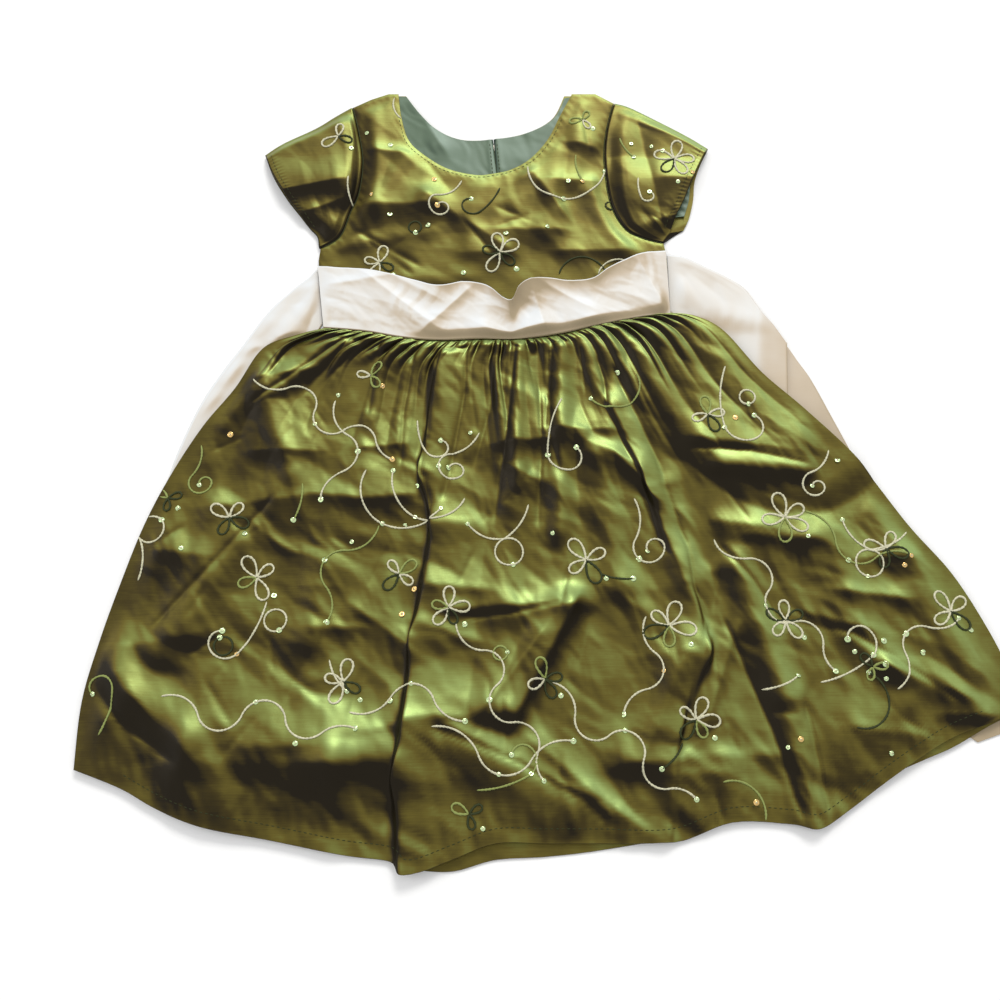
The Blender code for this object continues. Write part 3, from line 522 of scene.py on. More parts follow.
def woven_material(name, cloth):
    """Painted highlight and shade: tones by the way the cloth leans to a fixed light, with clouds and slubs,
    painted shade along X and painted shade on steep slopes added.
    """
    mat, nodes, links, shader = base_material(
        name, cloth["roughness"], cloth["metallic"], cloth["specular"])
    painted_slope_light, level = slope_for_painted_light(nodes, links, cloth["towards"])
    slub = scaled_noise(nodes, links, cloth["slubs"], 2.0)
    waves, detail = cloth["clouds"]
    where = add_node(nodes, "ShaderNodeTexCoord")
    split = add_node(nodes, "ShaderNodeSeparateXYZ")
    links.new(where.outputs["Object"], split.inputs[0])
    across = split.outputs["X"]
    parts = {"cloud": scaled_noise(nodes, links, (waves, waves, waves), detail), "slub": slub,
             "across": across, "level": level}
    # Painted highlight and shade by slope: lighter where the cloth leans to the fixed direction, darker where
    # it leans away
    value = multiply_add(nodes, links, painted_slope_light, *cloth["painted_slope_light"])
    for part, gain, shift in cloth["sums"]:
        if part in PAINTED_SHADE_PAST:
            operation, start = PAINTED_SHADE_PAST[part]
            parts[part] = math_node(nodes, links, operation, across, start)
        value = math_node(nodes, links, "ADD", value, multiply_add(nodes, links, parts[part], gain, shift))
    links.new(ramp(nodes, links, value, cloth["tones"]), shader.inputs["Base Color"])
    pitch, strength, height = cloth["weave"]
    bump = add_node(nodes, "ShaderNodeBump")
    bump.inputs["Strength"].default_value = strength
    bump.inputs["Distance"].default_value = height * MM
    links.new(weave_height(nodes, links, pitch, slub), bump.inputs["Height"])
    links.new(bump.outputs["Normal"], shader.inputs["Normal"])
    return mat


GRAIN_WAVES = (900.0, 900.0, 900.0)


def plain_material(name, colour, roughness, metallic=0.0, speckle=0.12):
    """One colour, made a little uneven by fine noise."""
    mat, nodes, links, shader = base_material(name, roughness, metallic, 0.12)
    grain = scaled_noise(nodes, links, GRAIN_WAVES, 2.0)
    low = tuple(c * (1 - speckle) for c in colour)
    high = tuple(min(1.0, c * (1 + speckle)) for c in colour)
    links.new(ramp(nodes, links, grain, [(0.25, low), (0.75, high)]), shader.inputs["Base Color"])
    return mat


# The cloth is green warp shot with brown weft. Its colour is painted highlight and shade: green where it
# leans to a fixed light, brown where it leans away.
# towards: the way on plan that the slope painted lightest faces. Then the gain and shift of the painted
# highlight and shade by slope, and sums: gain, then shift.
# slubs: waves per metre. clouds: waves per metre, detail. weave: thread pitch in mm, strength of
# the bump, its height in mm
SHOT_TAFFETA = {
    "roughness": 0.38, "metallic": 0.5, "specular": 0.18, "towards": (0.30, 0.95, 0.0),
    "painted_slope_light": (1.9, 0.45), "slubs": (60.0, 1500.0, 60.0), "clouds": (26.0, 4.0), "weave": (0.34, 0.3, 0.06),
    # Painted shade in the sums: along X the cloth is darker to the left and lighter to the right, past the
    # far left darker still, and by its level darker on steep slopes such as crease walls and turned edges
    "sums": (("cloud", 0.5, -0.25), ("slub", 0.16, -0.08), ("across", 0.1, 0.0), ("painted shade far left", 0.8, 0.08),
             ("level", 1.5, -1.47)),
    "tones": ((0.0, (0.016, 0.012, 0.006)), (0.24, (0.052, 0.038, 0.009)), (0.47, (0.126, 0.100, 0.018)),
              (0.68, (0.188, 0.205, 0.050)), (1.0, (0.285, 0.385, 0.125)))}
# The teal lining's colour is painted highlight and shade too: light where it leans to a fixed light, dark
# where it leans away, darker on steep slopes
LINING_SATIN = {
    "roughness": 0.42, "metallic": 0.0, "specular": 0.35, "towards": (0.5, 0.86, 0.0),
    "painted_slope_light": (2.4, 0.62), "slubs": (90.0, 2000.0, 90.0), "clouds": (14.0, 3.0), "weave": (0.28, 0.2, 0.05),
    "sums": (("cloud", 0.5, -0.25), ("slub", 0.05, -0.025), ("level", 0.8, -0.8)),
    "tones": ((0.0, (0.010, 0.026, 0.016)), (0.5, (0.090, 0.138, 0.086)), (1.0, (0.165, 0.245, 0.18)))}
# The sash's painted highlight falls from the other side, its tones run from tan painted shade to white
# painted highlight, and painted shade darkens it over the far right.
SASH_SATIN = dict(
    LINING_SATIN, roughness=0.45, towards=(-0.5, 0.86, 0.0), painted_slope_light=(2.3, 0.62),
    sums=LINING_SATIN["sums"] + (("painted shade far right", -3.6, 0.36),),
    tones=((0.0, (0.38, 0.30, 0.19)), (0.3, (0.53, 0.44, 0.33)), (0.6, (0.65, 0.62, 0.57)),
           (1.0, (0.69, 0.71, 0.72))))
TAFFETA = woven_material("shot_taffeta", SHOT_TAFFETA)
SATIN = woven_material("ivory_satin", SASH_SATIN)
LINING = woven_material("teal_lining", LINING_SATIN)
CREAM = plain_material("cream_thread", (0.56, 0.54, 0.38), 0.6, speckle=0.3)
LEAF = plain_material("leaf_thread", (0.25, 0.29, 0.09), 0.55)
DEEP = plain_material("deep_thread", (0.035, 0.042, 0.016), 0.6)
NYLON = plain_material("zip_nylon", (0.09, 0.10, 0.03), 0.55)
METAL = plain_material("zip_metal", (0.45, 0.42, 0.36), 0.35, 1.0)
SEQUIN = plain_material("clear_sequin", (0.62, 0.78, 0.42), 0.16, 0.8, 0.3)
GOLD = plain_material("gold_sequin", (0.78, 0.52, 0.20), 0.2, 0.8, 0.3)


# Front skirt
def gather_bounds():
    k = np.arange(GATHERS + 1)
    shake = 0.2 * np.sin(2.4 * k) + 0.14 * np.sin(5.1 * k + 1.0)
    shake[0] = shake[-1] = 0.0
    return (k + shake) / GATHERS


GATHER_DICE = np.random.default_rng(7)
GATHER_SIZES = GATHER_DICE.uniform(0.5, 1.2, GATHERS)
GATHER_REACHES = 0.09 + 0.36 * GATHER_DICE.random(GATHERS) ** 1.4


def skirt_rise(u, v, x, y):
    """How free the cloth is of its side edges, and how high it rises, at shares u across and v down."""
    place = np.interp(u, gather_bounds(), np.arange(GATHERS + 1))
    number = np.clip(np.floor(place), 0, GATHERS - 1).astype(int)
    swell = GATHER_SEAM_RISE + (GATHER_RISE - GATHER_SEAM_RISE) * smooth(v / 0.06)
    fade = 1 - smooth((v - 0.02) / GATHER_REACHES[number])
    rise = np.abs(np.sin(math.pi * place)) ** 0.75 * GATHER_SIZES[number] * swell * fade
    fine = np.abs(np.sin(math.pi * (2.0 * place + 0.3 * np.sin(1.9 * place)))) ** 0.8
    rise = rise + 0.8 * fine * smooth(v / 0.012) * (1 - smooth((v - 0.01) / 0.08))
    drift = u + 0.011 * noise(x, y, 60.0, 21)
    patchy = 0.55 + 0.45 * noise(x, y, 70.0, 22)
    middle = smooth((v - 0.04) / 0.12) * (1 - smooth((v - 0.22) / 0.36))
    rise = rise + 2.9 * middle * patchy * np.abs(np.sin(16.5 * math.pi * drift)) ** 0.75
    low = smooth((v - 0.25) / 0.3)
    rise = rise + 0.8 * low * patchy * (1 - np.cos(15.0 * math.pi * (drift + 0.05 * v) + 1.0))
    main = 0.85 * fold_rise(x, y, SKIRT_FOLDS) * smooth(v / 0.1)
    edge = smooth(u / 0.035) * smooth((1 - u) / 0.035)
    rise = np.maximum(rise, main) + 0.4 * np.minimum(rise, main)
    return edge, edge * (rise + smooth(v / 0.08) * ridge_rise(x, y, SKIRT_RIDGES))


# Ridges that catch the light. columns: x0, y0, x1, y1, left width, right width, height
SKIRT_RIDGES = [
    (-175, 92, -145, 98, 10, 8, 2.5), (-172, 35, -140, 35, 24, 10, 3.4), (-125, 2, -105, 0, 13, 9, 2.8),
    (-88, 0, -70, 2, 20, 9, 3.2), (-95, 38, -78, 40, 16, 8, 2.6), (-200, -6, -145, 0, 15, 22, 3.0),
    (-245, -38, -212, -42, 22, 17, 3.8), (-122, -93, -105, -93, 16, 9, 2.4),
    (-95, -82, -62, -105, 13, 12, 3.4), (-268, -108, -210, -100, 22, 14, 2.4),
    (-270, -110, -245, -140, 9, 26, 2.6),
    (-245, -140, -205, -176, 9, 28, 3.0), (-205, -182, -110, -184, 45, 34, 6.0),
    (-110, -184, -65, -180, 30, 34, 5.4), (-156, -172, -112, -172, 28, 10, 3.0),
    (-92, -162, -66, -158, 12, 8, 2.0),
    (5, 42, 28, 44, 35, 9, 4.2), (8, 22, 26, 14, 15, 9, 2.6), (42, 52, 76, 52, 30, 10, 4.2),
    (60, 44, 100, 24, 13, 11, 3.0), (82, 34, 110, 6, 10, 9, 2.6), (-48, -64, -18, -66, 11, 8, 2.2),
    (-46, -92, -34, -97, 12, 10, 2.2), (-30, -80, 42, -76, 14, 13, 3.4), (28, -80, 46, -78, 21, 8, 3.0),
    (49, -80, 14, -146, 5, 11, 4.0), (24, -102, -6, -142, 5, 10, 3.0), (-58, -155, 4, -152, 16, 38, 4.8),
    (25, -172, 75, -212, 10, 10, 3.4), (118, -122, 92, -180, 6, 13, 3.2), (158, -100, 136, -158, 6, 13, 3.2),
    (114, -190, 146, -189, 18, 17, 3.2), (100, -112, 132, -108, 32, 12, 2.6), (145, 44, 212, 34, 26, 12, 4.0),
    (160, -18, 185, -22, 12, 8, 2.2), (178, -28, 212, -30, 14, 9, 2.8), (240, -68, 272, -72, 8, 10, 2.8),
    (215, -84, 242, -92, 9, 7, 2.0), (258, -44, 284, -42, 14, 7, 1.8), (236, -100, 262, -120, 12, 8, 2.6),
    (262, -120, 306, -138, 12, 9, 2.8), (236, -160, 276, -164, 14, 18, 3.4),
    (302, -152, 328, -152, 18, 6, 2.6), (82, -184, 120, -180, 24, 8, 3.2), (146, -178, 172, -178, 8, 18, 2.4)]
# Sharp creases pressed into the skirt. columns: x0, y0, x1, y1, width, depth
SKIRT_CREASES = [
    (-120, 121, -150, 96, 1.8, 2.0), (-150, 96, -175, 76, 1.8, 2.0), (-105, 118, -130, 88, 1.6, 1.6),
    (-85, 112, -104, 70, 1.6, 1.6), (-52, 60, -50, 20, 1.8, 2.0), (-50, 20, -44, -15, 1.8, 2.0),
    (-44, -15, -50, -65, 1.8, 1.8), (28, 112, 30, 40, 1.8, 2.2), (30, 40, 27, -14, 1.8, 2.0),
    (38, 112, 33, 55, 1.6, 1.8), (86, 95, 102, 58, 1.8, 2.2), (102, 58, 118, 20, 1.8, 2.2),
    (118, 20, 130, -32, 1.8, 2.2), (130, -32, 137, -85, 1.8, 2.0), (137, -85, 122, -150, 1.6, 1.6),
    (144, 37, 176, 34, 1.6, 1.8), (176, 34, 214, 25, 1.6, 1.4), (150, -30, 176, -62, 1.8, 1.8),
    (176, -62, 190, -88, 1.8, 1.8), (190, -86, 240, -97, 1.5, 1.2), (240, -97, 300, -138, 1.5, 1.4),
    (155, -92, 180, -160, 1.8, 1.8), (180, -160, 195, -214, 1.8, 1.8), (204, -148, 213, -210, 1.6, 1.6),
    (-165, -5, -200, -50, 1.6, 1.6), (-200, -50, -232, -88, 1.6, 1.6), (-276, -129, -250, -157, 2.0, 2.4),
    (-250, -157, -214, -181, 2.0, 2.4), (-40, -165, 12, -185, 2.0, 1.6), (12, -185, 70, -222, 2.0, 1.6),
    (46, -58, 42, -76, 1.6, 1.6), (42, -76, 8, -83, 1.6, 1.6), (8, -83, -22, -86, 1.6, 1.4),
    (-90, 118, -95, 70, 1.4, 1.6), (-63, 118, -70, 67, 1.5, 2.0), (-70, 67, -71, 30, 1.5, 1.6),
    (-44, 110, -49, 45, 1.5, 2.2), (-25, 108, -26, 80, 1.3, 1.4), (-26, 80, -38, 5, 1.4, 2.0),
    (-4, 110, -7, 70, 1.4, 2.0), (-7, 70, -17, 30, 1.4, 1.8), (11, 114, 5, 53, 1.5, 2.2),
    (5, 53, -3, -10, 1.5, 2.0), (36, 112, 36, 50, 1.5, 1.8), (36, 50, 42, 22, 1.4, 1.4),
    (73, 104, 79, 79, 1.4, 1.8), (60, 112, 62, 88, 1.2, 1.2), (-112, 124, -140, 84, 1.4, 1.6)]


SMALL_CREASES = 64


def small_creases():
    """Short shallow creases between the main ones, mostly along the fall of the skirt."""
    dice = np.random.default_rng(81)
    rows = []
    for _ in range(SMALL_CREASES):
        x, y = dice.uniform(-235, 290), dice.uniform(-205, 80)
        way = math.atan2(y - 330, x) + dice.normal(0, 0.55)
        reach = dice.uniform(8, 26)
        dx, dy = reach * math.cos(way), reach * math.sin(way)
        rows.append((x, y, x + dx, y + dy, dice.uniform(1.0, 1.8), dice.uniform(0.4, 1.1)))
    return rows


SKIRT_COLUMNS, SKIRT_ROWS = 400, 222
SKIRT_LENGTH = 330.0
SHELL_LIFT = 0.35
# How far beside a tie the front skirt, and the back skirt, is still lifted in full
FRONT_SPREAD, BACK_SPREAD = 58.0, 24.0
# columns: height, size, stretch along Y, seed
SKIRT_FACETS = ((1.3, 46.0, 0.7, 11), (0.8, 29.0, 1.0, 61), (0.3, 15.0, 1.0, 31))
# The hem and the side edges are turned under. columns: reach outwards, drop
HEM_RIM = ((0.06, 0), (0.2, 0.35), (0.15, 0.8), (-0.6, 1.1), (-4.0, 1.1))
HEM_LOWEST = 1.5
SKIRT_SIDE_RIM = ((0.06, 0), (0.4, 0.5), (0.5, 1.1), (0.1, 1.7))
SKIRT_SIDE_LOWEST = 1.0


def skirt_plan(u, v):
    edges = spline(SKIRT_EDGES)
    left, right = columns_at(edges[:, 1:3], edges[:, 0], v), columns_at(edges[:, 3:], edges[:, 0], v)
    waist, hem = spline(WAIST), spline(HEM, 6)
    top_x = WAIST[0][0] + (WAIST[-1][0] - WAIST[0][0]) * u
    hem_x = HEM[0][0] + (HEM[-1][0] - HEM[0][0]) * u
    top = np.stack([top_x, np.interp(top_x, waist[:, 0], waist[:, 1]) - SEAM_GAP], 1)
    low = np.stack([hem_x, np.interp(hem_x, hem[:, 0], hem[:, 1])], 1)
    return patch(top, low, left, right, u, v, (left[0], right[0], left[-1], right[-1]))


def lean_over(x, y, loose):
    """Push the crests of lopsided folds over their steep side."""
    shift_x, shift_y = np.zeros_like(x), np.zeros_like(x)
    for x0, y0, x1, y1, left, right, height in SKIRT_FOLDS:
        if abs(left - right) < 4:
            continue
        side, width, ends = fold_parts(x, y, (x0, y0, x1, y1, left, right, height))
        length = math.hypot(x1 - x0, y1 - y0)
        steep = 1.0 if left < right else -1.0
        weight = steep * 0.55 * height * ends * np.exp(-((side / np.minimum(width, 9.0)) ** 2)) * loose
        shift_x += weight * -(y1 - y0) / length
        shift_y += weight * (x1 - x0) / length
    return x + shift_x, y + shift_y


def make_skirt_front():
    u = np.linspace(0, 1, SKIRT_COLUMNS)
    u = u - 0.04 * np.sin(2 * math.pi * u) / (2 * math.pi)
    v = np.linspace(0, 1, SKIRT_ROWS) ** 1.12
    U, V = np.meshgrid(u, v)
    x, y = skirt_plan(u, v)
    edge, rise = skirt_rise(U, V, x, y)
    loose = smooth((V - 0.02) / 0.2) * edge
    rise = rise + loose * sum(
        height * crumple(x, stretch * y, size, seed) for height, size, stretch, seed in SKIRT_FACETS)
    rise = rise - edge * cut_creases(x, y, SKIRT_CREASES + small_creases())
    to_hem = (1 - V) * SKIRT_LENGTH
    wander = 0.75 * x + 5.0 * noise(x, y, 30.0, 23)
    rise = rise + 0.09 * np.exp(-(((to_hem - 8.0) / 5.0) ** 2)) * np.sin(wander)
    rise = 0.5 * (rise + np.sqrt(rise * rise + 0.8))
    base = FRONT_LEVEL + 1.15 * tie_lift(x, y, FRONT_SPREAD) + SHELL_LIFT
    grid = np.stack([*lean_over(x, y, loose), base + rise], -1)
    hem = turned_edge(grid[-1], np.array((0, -1, 0)), HEM_RIM, HEM_LOWEST)
    grid = turn_sides(
        np.concatenate([grid, hem]), np.array(((-1, 0, 0), (1, 0, 0))), SKIRT_SIDE_RIM, SKIRT_SIDE_LOWEST)
    return piece(grid_mesh("skirt_front_cloth", grid, TAFFETA, True), "taffeta", "skirt_front")


# Folds of the back skirt, pressed nearly flat under the dress.
# columns: x0, y0, x1, y1, left width, right width, height
BACK_FOLDS = [
    (-112, 118, -152, 42, 7, 9, 0.5), (-72, 116, -92, 12, 9, 7, 0.6), (-32, 114, -36, -18, 7, 9, 0.5),
    (12, 116, 22, 2, 9, 8, 0.6), (54, 117, 84, 16, 8, 9, 0.5), (96, 124, 146, 48, 9, 7, 0.5),
    (-150, -58, -64, -84, 9, 12, 0.5), (38, -72, 146, -44, 12, 9, 0.5), (-44, -148, 62, -172, 10, 9, 0.5),
    (176, -58, 252, -112, 9, 11, 0.5), (-214, -96, -176, -150, 10, 8, 0.4)]


def make_skirt_back():
    waist = along(WAIST, 60)[::-1] - np.array([0, SEAM_GAP])
    left = spline([(r[1], r[2]) for r in SKIRT_EDGES], 20)[1:-1]
    right = spline([(r[3], r[4]) for r in SKIRT_EDGES], 20)[1:-1]
    hem = spline([(r[0], r[2]) for r in HEM], 22)
    outline = np.vstack([waist, left, hem, right[::-1]])

    def level(x, y):
        to_waist = distance_to_line(x, y, waist)
        gathers = 0.25 * np.abs(np.sin(0.4 * x + 1.2 * noise(x, y, 40.0, 6)))
        folds = gathers * (1 - smooth((to_waist - 10.0) / 50.0))
        folds = folds + ridge_rise(x, y, BACK_FOLDS) + 0.22 * crumple(x, y, 34.0, 261)
        return 0.6 + tie_lift(x, y, BACK_SPREAD) + smooth(to_waist / 4.0) * np.clip(0.2 + folds, 0, 0.9)

    made = cloth_panel("skirt_back_cloth", outline, level, spacing=2.8, mat=TAFFETA, rim=0.5)
    return piece(made, "taffeta", "skirt_back")


# Bodice
SIDE_RIGHT = [(128, 152), (128, 160), (128, 168), (128, 175), (128, 183), (128, 190), (127.6, 198)]
SIDE_LEFT = [(-138.6, 197), (-139, 192), (-138.3, 185), (-137.4, 178), (-136.4, 171), (-135.4, 163),
             (-134.4, 155), (-133.6, 148), (-132.8, 141)]
LINING_FOOT = [(-92, 336), (-90, 318), (-84, 300), (-74, 282), (-54, 264), (-24, 254), (-6, 253.5),
               (14, 258), (34, 271), (49, 293), (59, 317), (68, 337)]
LINING_TOP_LEFT, LINING_TOP_RIGHT = (-84, 342.5), (62, 342.5)
# columns: x0, y0, x1, y1, left width, right width, height
LINING_RIDGES = [(-70, 336, -48, 298, 6, 15, 2.0)]
ZIP_HALF = 1.7
HALVES = ((-1, "left"), (1, "right"))


def inset(loop, distance):
    step = np.roll(loop, -1, 0) - np.roll(loop, 1, 0)
    step /= np.hypot(*step.T)[:, None]
    return loop + np.stack([-step[:, 1], step[:, 0]], 1) * distance


def bodice_outline(neck, count):
    loop = np.vstack([
        along(WAIST, 90), SIDE_RIGHT, along(ARMHOLE_RIGHT, 60)[::-1], SHOULDER_RIGHT[:1],
        along(neck, count)[::-1], SHOULDER_LEFT[::-1][:2], along(ARMHOLE_LEFT, 66), SIDE_LEFT])
    return inset(loop, 0.5 * SEAM_GAP)


def split_x(y):
    share = np.clip((y - SLIT_LOW[1]) / (SLIT_TOP[1] - SLIT_LOW[1]), 0, 1)
    return SLIT_LOW[0] + (SLIT_TOP[0] - SLIT_LOW[0]) * share


def half_outline(loop, side, gap):
    kept = []
    for here, ahead in zip(loop, np.roll(loop, -1, 0)):
        a = (here[0] - split_x(here[1])) * side - gap
        b = (ahead[0] - split_x(ahead[1])) * side - gap
        if a > 0.5:
            kept.append(tuple(here))
        if (a > 0.5) != (b > 0.5):
            y = here[1] + (ahead[1] - here[1]) * a / (a - b)
            kept.append((split_x(y) + side * gap, y))
            if a > 0.5:
                kept.append((SLIT_LOW[0] + side * gap, SLIT_LOW[1]))
    return np.array(kept)


# Ridges of the bodice that catch the light. columns: x0, y0, x1, y1, left width, right width, height
BODICE_RIDGES = [
    (-112, 240, -62, 240, 27, 16, 3.8), (-54, 246, 0, 206, 11, 16, 2.8), (-70, 300, -45, 262, 9, 11, -1.8),
    (-84, 330, -58, 276, 9, 10, 2.0), (2, 218, 42, 218, 26, 11, 2.6), (52, 200, 90, 200, 26, 9, 2.4),
    (-66, 172, -28, 170, 21, 7, 2.0), (48, 262, 80, 262, 10, 14, 2.4), (60, 296, 76, 292, 14, 7, 2.0),
    (26, 268, 46, 238, 9, 8, 2.0), (-118, 292, -80, 288, 7, 10, 2.0), (-16, 198, -2, 198, 20, 7, 1.6)]
# columns: x0, y0, x1, y1, width, depth
BODICE_CREASES = [
    (-105, 214, -66, 190, 1.8, 1.0), (-98, 206, -72, 184, 1.6, 0.8), (-28, 226, -8, 200, 1.8, 0.8),
    (2, 236, 18, 228, 1.4, 0.6), (2, 222, 16, 228, 1.4, 0.6), (66, 320, 70, 296, 1.6, 0.8)]


def bodice_level(x, y):
    to_neck = distance_to_line(x, y, along(NECK_FRONT, 40))
    to_edge = distance_to_line(x, y, closed(bodice_outline(NECK_FRONT, 110)))
    fade = smooth(to_edge / 13.0) * smooth((y - 164.0) / 16.0)
    lining = (OVER_LINING - FRONT_LEVEL) * (1 - smooth((to_neck - 26.0) / 22.0))
    rise = 0.45 * fold_rise(x, y, BODICE_FOLDS) + ridge_rise(x, y, BODICE_RIDGES)
    rise = fade * (rise - cut_creases(x, y, BODICE_CREASES))
    soft = smooth(to_edge / 5.0) * smooth((y - 164.0) / 16.0)
    rise = rise + soft * (0.6 * crumple(x, y, 40.0, 51) + 0.1 * crumple(x, y, 14.0, 71))
    rise = rise + 0.12 * np.exp(-(((to_edge - 3.0) / 2.5) ** 2)) * np.sin(0.9 * (x + 0.7 * y))
    rise = 0.5 * (rise + np.sqrt(rise * rise + 0.4))
    return FRONT_LEVEL + lining + 0.55 + rise - 0.5 * np.exp(-to_edge / 1.2)


def make_bodice():
    outline = bodice_outline(NECK_FRONT, 110)
    made = cloth_panel("bodice_front_cloth", outline, bodice_level, spacing=1.75, mat=TAFFETA, rim=0.9)
    pieces = [piece(made, "taffeta", "bodice_front")]
    outline = bodice_outline(NECK_BACK, 90)
    for side, word in HALVES:
        half = half_outline(outline, side, ZIP_HALF + SEAM_GAP)
        made = cloth_panel(
            "bodice_back_" + word + "_cloth", half, lambda x, y: 0.8 + 0.2 * crumple(x, y, 32.0, 271),
            spacing=2.6, mat=TAFFETA, rim=0.5)
        pieces.append(piece(made, "taffeta", "bodice_back_" + word))
    return pieces


def make_lining():
    loop = np.vstack([
        spline(LINING_FOOT, 6), LINING_TOP_RIGHT, inset(along(NECK_BACK, 60)[::-1], 1.2)[1:-1],
        LINING_TOP_LEFT])
    pieces = []
    for side, word in HALVES:
        half = half_outline(loop, side, LAYER_GAP)

        def level(x, y):
            from_slit = np.abs(x - split_x(y))
            ridge = 0.45 * np.exp(-((from_slit - 3.0) / 2.2) ** 2)
            ripple = 0.35 * crumple(x, y, 16.0, 91) + ridge_rise(x, y, LINING_RIDGES)
            return 2.05 + ridge + ripple * smooth(from_slit / 6.0) - 0.3 * np.exp(-from_slit / 0.7)

        made = cloth_panel(
            "back_lining_" + word + "_cloth", half, level, spacing=1.7, mat=LINING, rim=0.5)
        pieces.append(piece(made, "lining", "back_lining_" + word))
    return pieces


# Sleeves
def sleeve_height(a, b, cuff_level):
    low = 2.0 * WALL + LAYER_GAP
    swell = smooth(b / 0.08) * smooth((1 - b) / 0.2)
    rise = SLEEVE_HEIGHT * (0.35 + 0.65 * np.sin(math.pi * np.minimum(1, 0.15 + 0.8 * b)))
    rise = rise * (0.45 + 0.55 * np.sin(math.pi * (0.12 + 0.7 * a)))
    pleat = 0.5 * np.sin(2 * math.pi * (2.2 * b + 0.4 * a)) * np.sin(math.pi * np.minimum(1, a + 0.15))
    seat = 0.25 + 0.75 * smooth(a / 0.18)
    return low + swell * (seat * (rise + pleat) + cuff_level * smooth((a - 0.35) / 0.25))


# columns: x0, y0, x1, y1, left width, right width, height
SLEEVE_RIDGES = [
    (-116, 312, -116, 255, 4, 12, 3.0), (-172, 250, -130, 258, 24, 8, 3.2), (-150, 232, -130, 240, 7, 5, 1.4),
    (110, 318, 124, 232, 10, 9, -2.0), (92, 284, 150, 282, 24, 12, -1.6),
    (132, 262, 148, 262, 9, 12, 1.6), (98, 300, 100, 262, 8, 10, 0.7)]


# The cuff's turned edge. columns: inwards, share of the way back to the row before
CUFF_RIM = ((0.6, 0.25), (1.0, 0.6), (1.0, 1.2))
SLEEVE_TUCK_LEVEL = 0.95
SLEEVE_ALONG, SLEEVE_ACROSS = 70, 90


def make_sleeve(word, armhole, top, cuffs, underarms, outward, cuff_level, seed):
    stations, across = SLEEVE_ALONG, SLEEVE_ACROSS
    seam = along(armhole, 120)
    step = np.gradient(seam, axis=0)
    step /= np.hypot(*step.T)[:, None]
    seam = seam + np.stack([outward * np.abs(step[:, 1]) * 0.5, -outward * step[:, 0] * 0.2], 1)
    a, b = np.linspace(0, 1, stations + 1), np.linspace(0, 1, across + 1)
    A, B = np.meshgrid(a, b, indexing="ij")
    plies = []
    for cuff, underarm in zip(cuffs, underarms):
        upper, under = along(top, stations), along(underarm, stations)
        mouth = read_line(along(cuff, 120), b)
        hole = read_line(seam, b)
        corners = (upper[0], hole[-1], upper[-1], mouth[-1])
        plies.append(patch(hole, mouth, upper, under, b, a, corners))
    x, y = plies[0]
    z = sleeve_height(A, B, cuff_level)
    loose = smooth(B / 0.1) * smooth((1 - B) / 0.1) * smooth(A / 0.06)
    z = z + loose * 0.45 * crumple(x, y, 34.0, seed)
    z = z + loose * smooth((B - 0.6) / 0.2) * 0.5 * crumple(x, y, 15.0, seed + 40)
    z = z + loose * ridge_rise(x, y, SLEEVE_RIDGES)
    pucker = np.exp(-(((A - 0.93) / 0.05) ** 2))
    z = z + 0.08 * pucker * np.sin(2 * math.pi * 26 * B) * loose
    front = np.stack([x, y, z], -1)
    bx, by = plies[1]
    back = np.stack([bx, by, 0.35 + 0.25 * loose], -1)[:, ::-1]
    ring = np.concatenate([front, back], 1)
    # The armhole's edge is turned in under the bodice, so that the seam shows no gap.
    turned = hole + 1.8 * (read_line(along(armhole, 120), b) - hole)
    tucked = ring[0].copy()
    tucked[:, :2] = np.vstack([turned, turned[::-1]])
    count = across + 1
    tucked[:count, 2] = SLEEVE_TUCK_LEVEL
    hem = []
    for inward, share in CUFF_RIM:
        row = ring[-1] * (1 - share / 40) + ring[-2] * share / 40
        row[:count, 2] -= inward
        row[count:, 2] += inward * 0.6
        hem.append(row)
    deep = ring[-8].copy()
    deep[:count, 2] -= 1.0
    deep[count:, 2] += 0.6
    ring = np.concatenate([tucked[None], ring, np.array(hem + [deep])], 0)
    made = grid_mesh("sleeve_" + word + "_cloth", ring, TAFFETA, outward < 0, wrap=True)
    return piece(made, "taffeta", "sleeve_" + word)


def make_sleeve_lining():
    loop = spline([(150, 284), (146, 270), (141, 254), (137, 240), (134, 230)], 5)
    back = spline([(143, 231), (147.5, 246), (149.5, 262), (154.5, 277)], 5)
    made = cloth_panel(
        "sleeve_lining_right_cloth", np.vstack([loop, back]),
        lambda x, y: 2.1 + 0.2 * np.sin(0.8 * y + 0.3 * x), spacing=1.6, mat=LINING, rim=0.5)
    return piece(made, "lining", "sleeve_lining_right")


# Sash
# Soft diagonal folds of the band. columns: x0, y0, x1, y1, left, right, height
SASH_FOLDS = [
    (-118, 172, -94, 176, 6, 5, 1.0), (-96, 174, -56, 140, 5, 9, 1.8), (-78, 176, -52, 160, 5, 6, 1.2),
    (-56, 132, -30, 158, 7, 6, 1.5), (-46, 127, -8, 128, 16, 4, 2.6), (-8, 128, 26, 129, 19, 4, 2.8),
    (26, 130, 70, 136, 17, 4, 2.6), (70, 136, 118, 146, 15, 4, 2.2), (24, 166, 32, 136, 4, 5, 1.6),
    (34, 168, 62, 152, 4, 6, 1.2), (106, 190, 120, 158, 5, 5, 1.4)]


# Its top edge is turned under. columns: which row from the top it copies, rise up the dress, drop
SASH_RIM = ((1, 0.35, 0.3), (1, 0.45, 0.8), (1, 0.0, 1.2), (5, 0.0, 1.25), (11, 0.0, 1.3))
SASH_ALONG, SASH_ACROSS = 300, 54


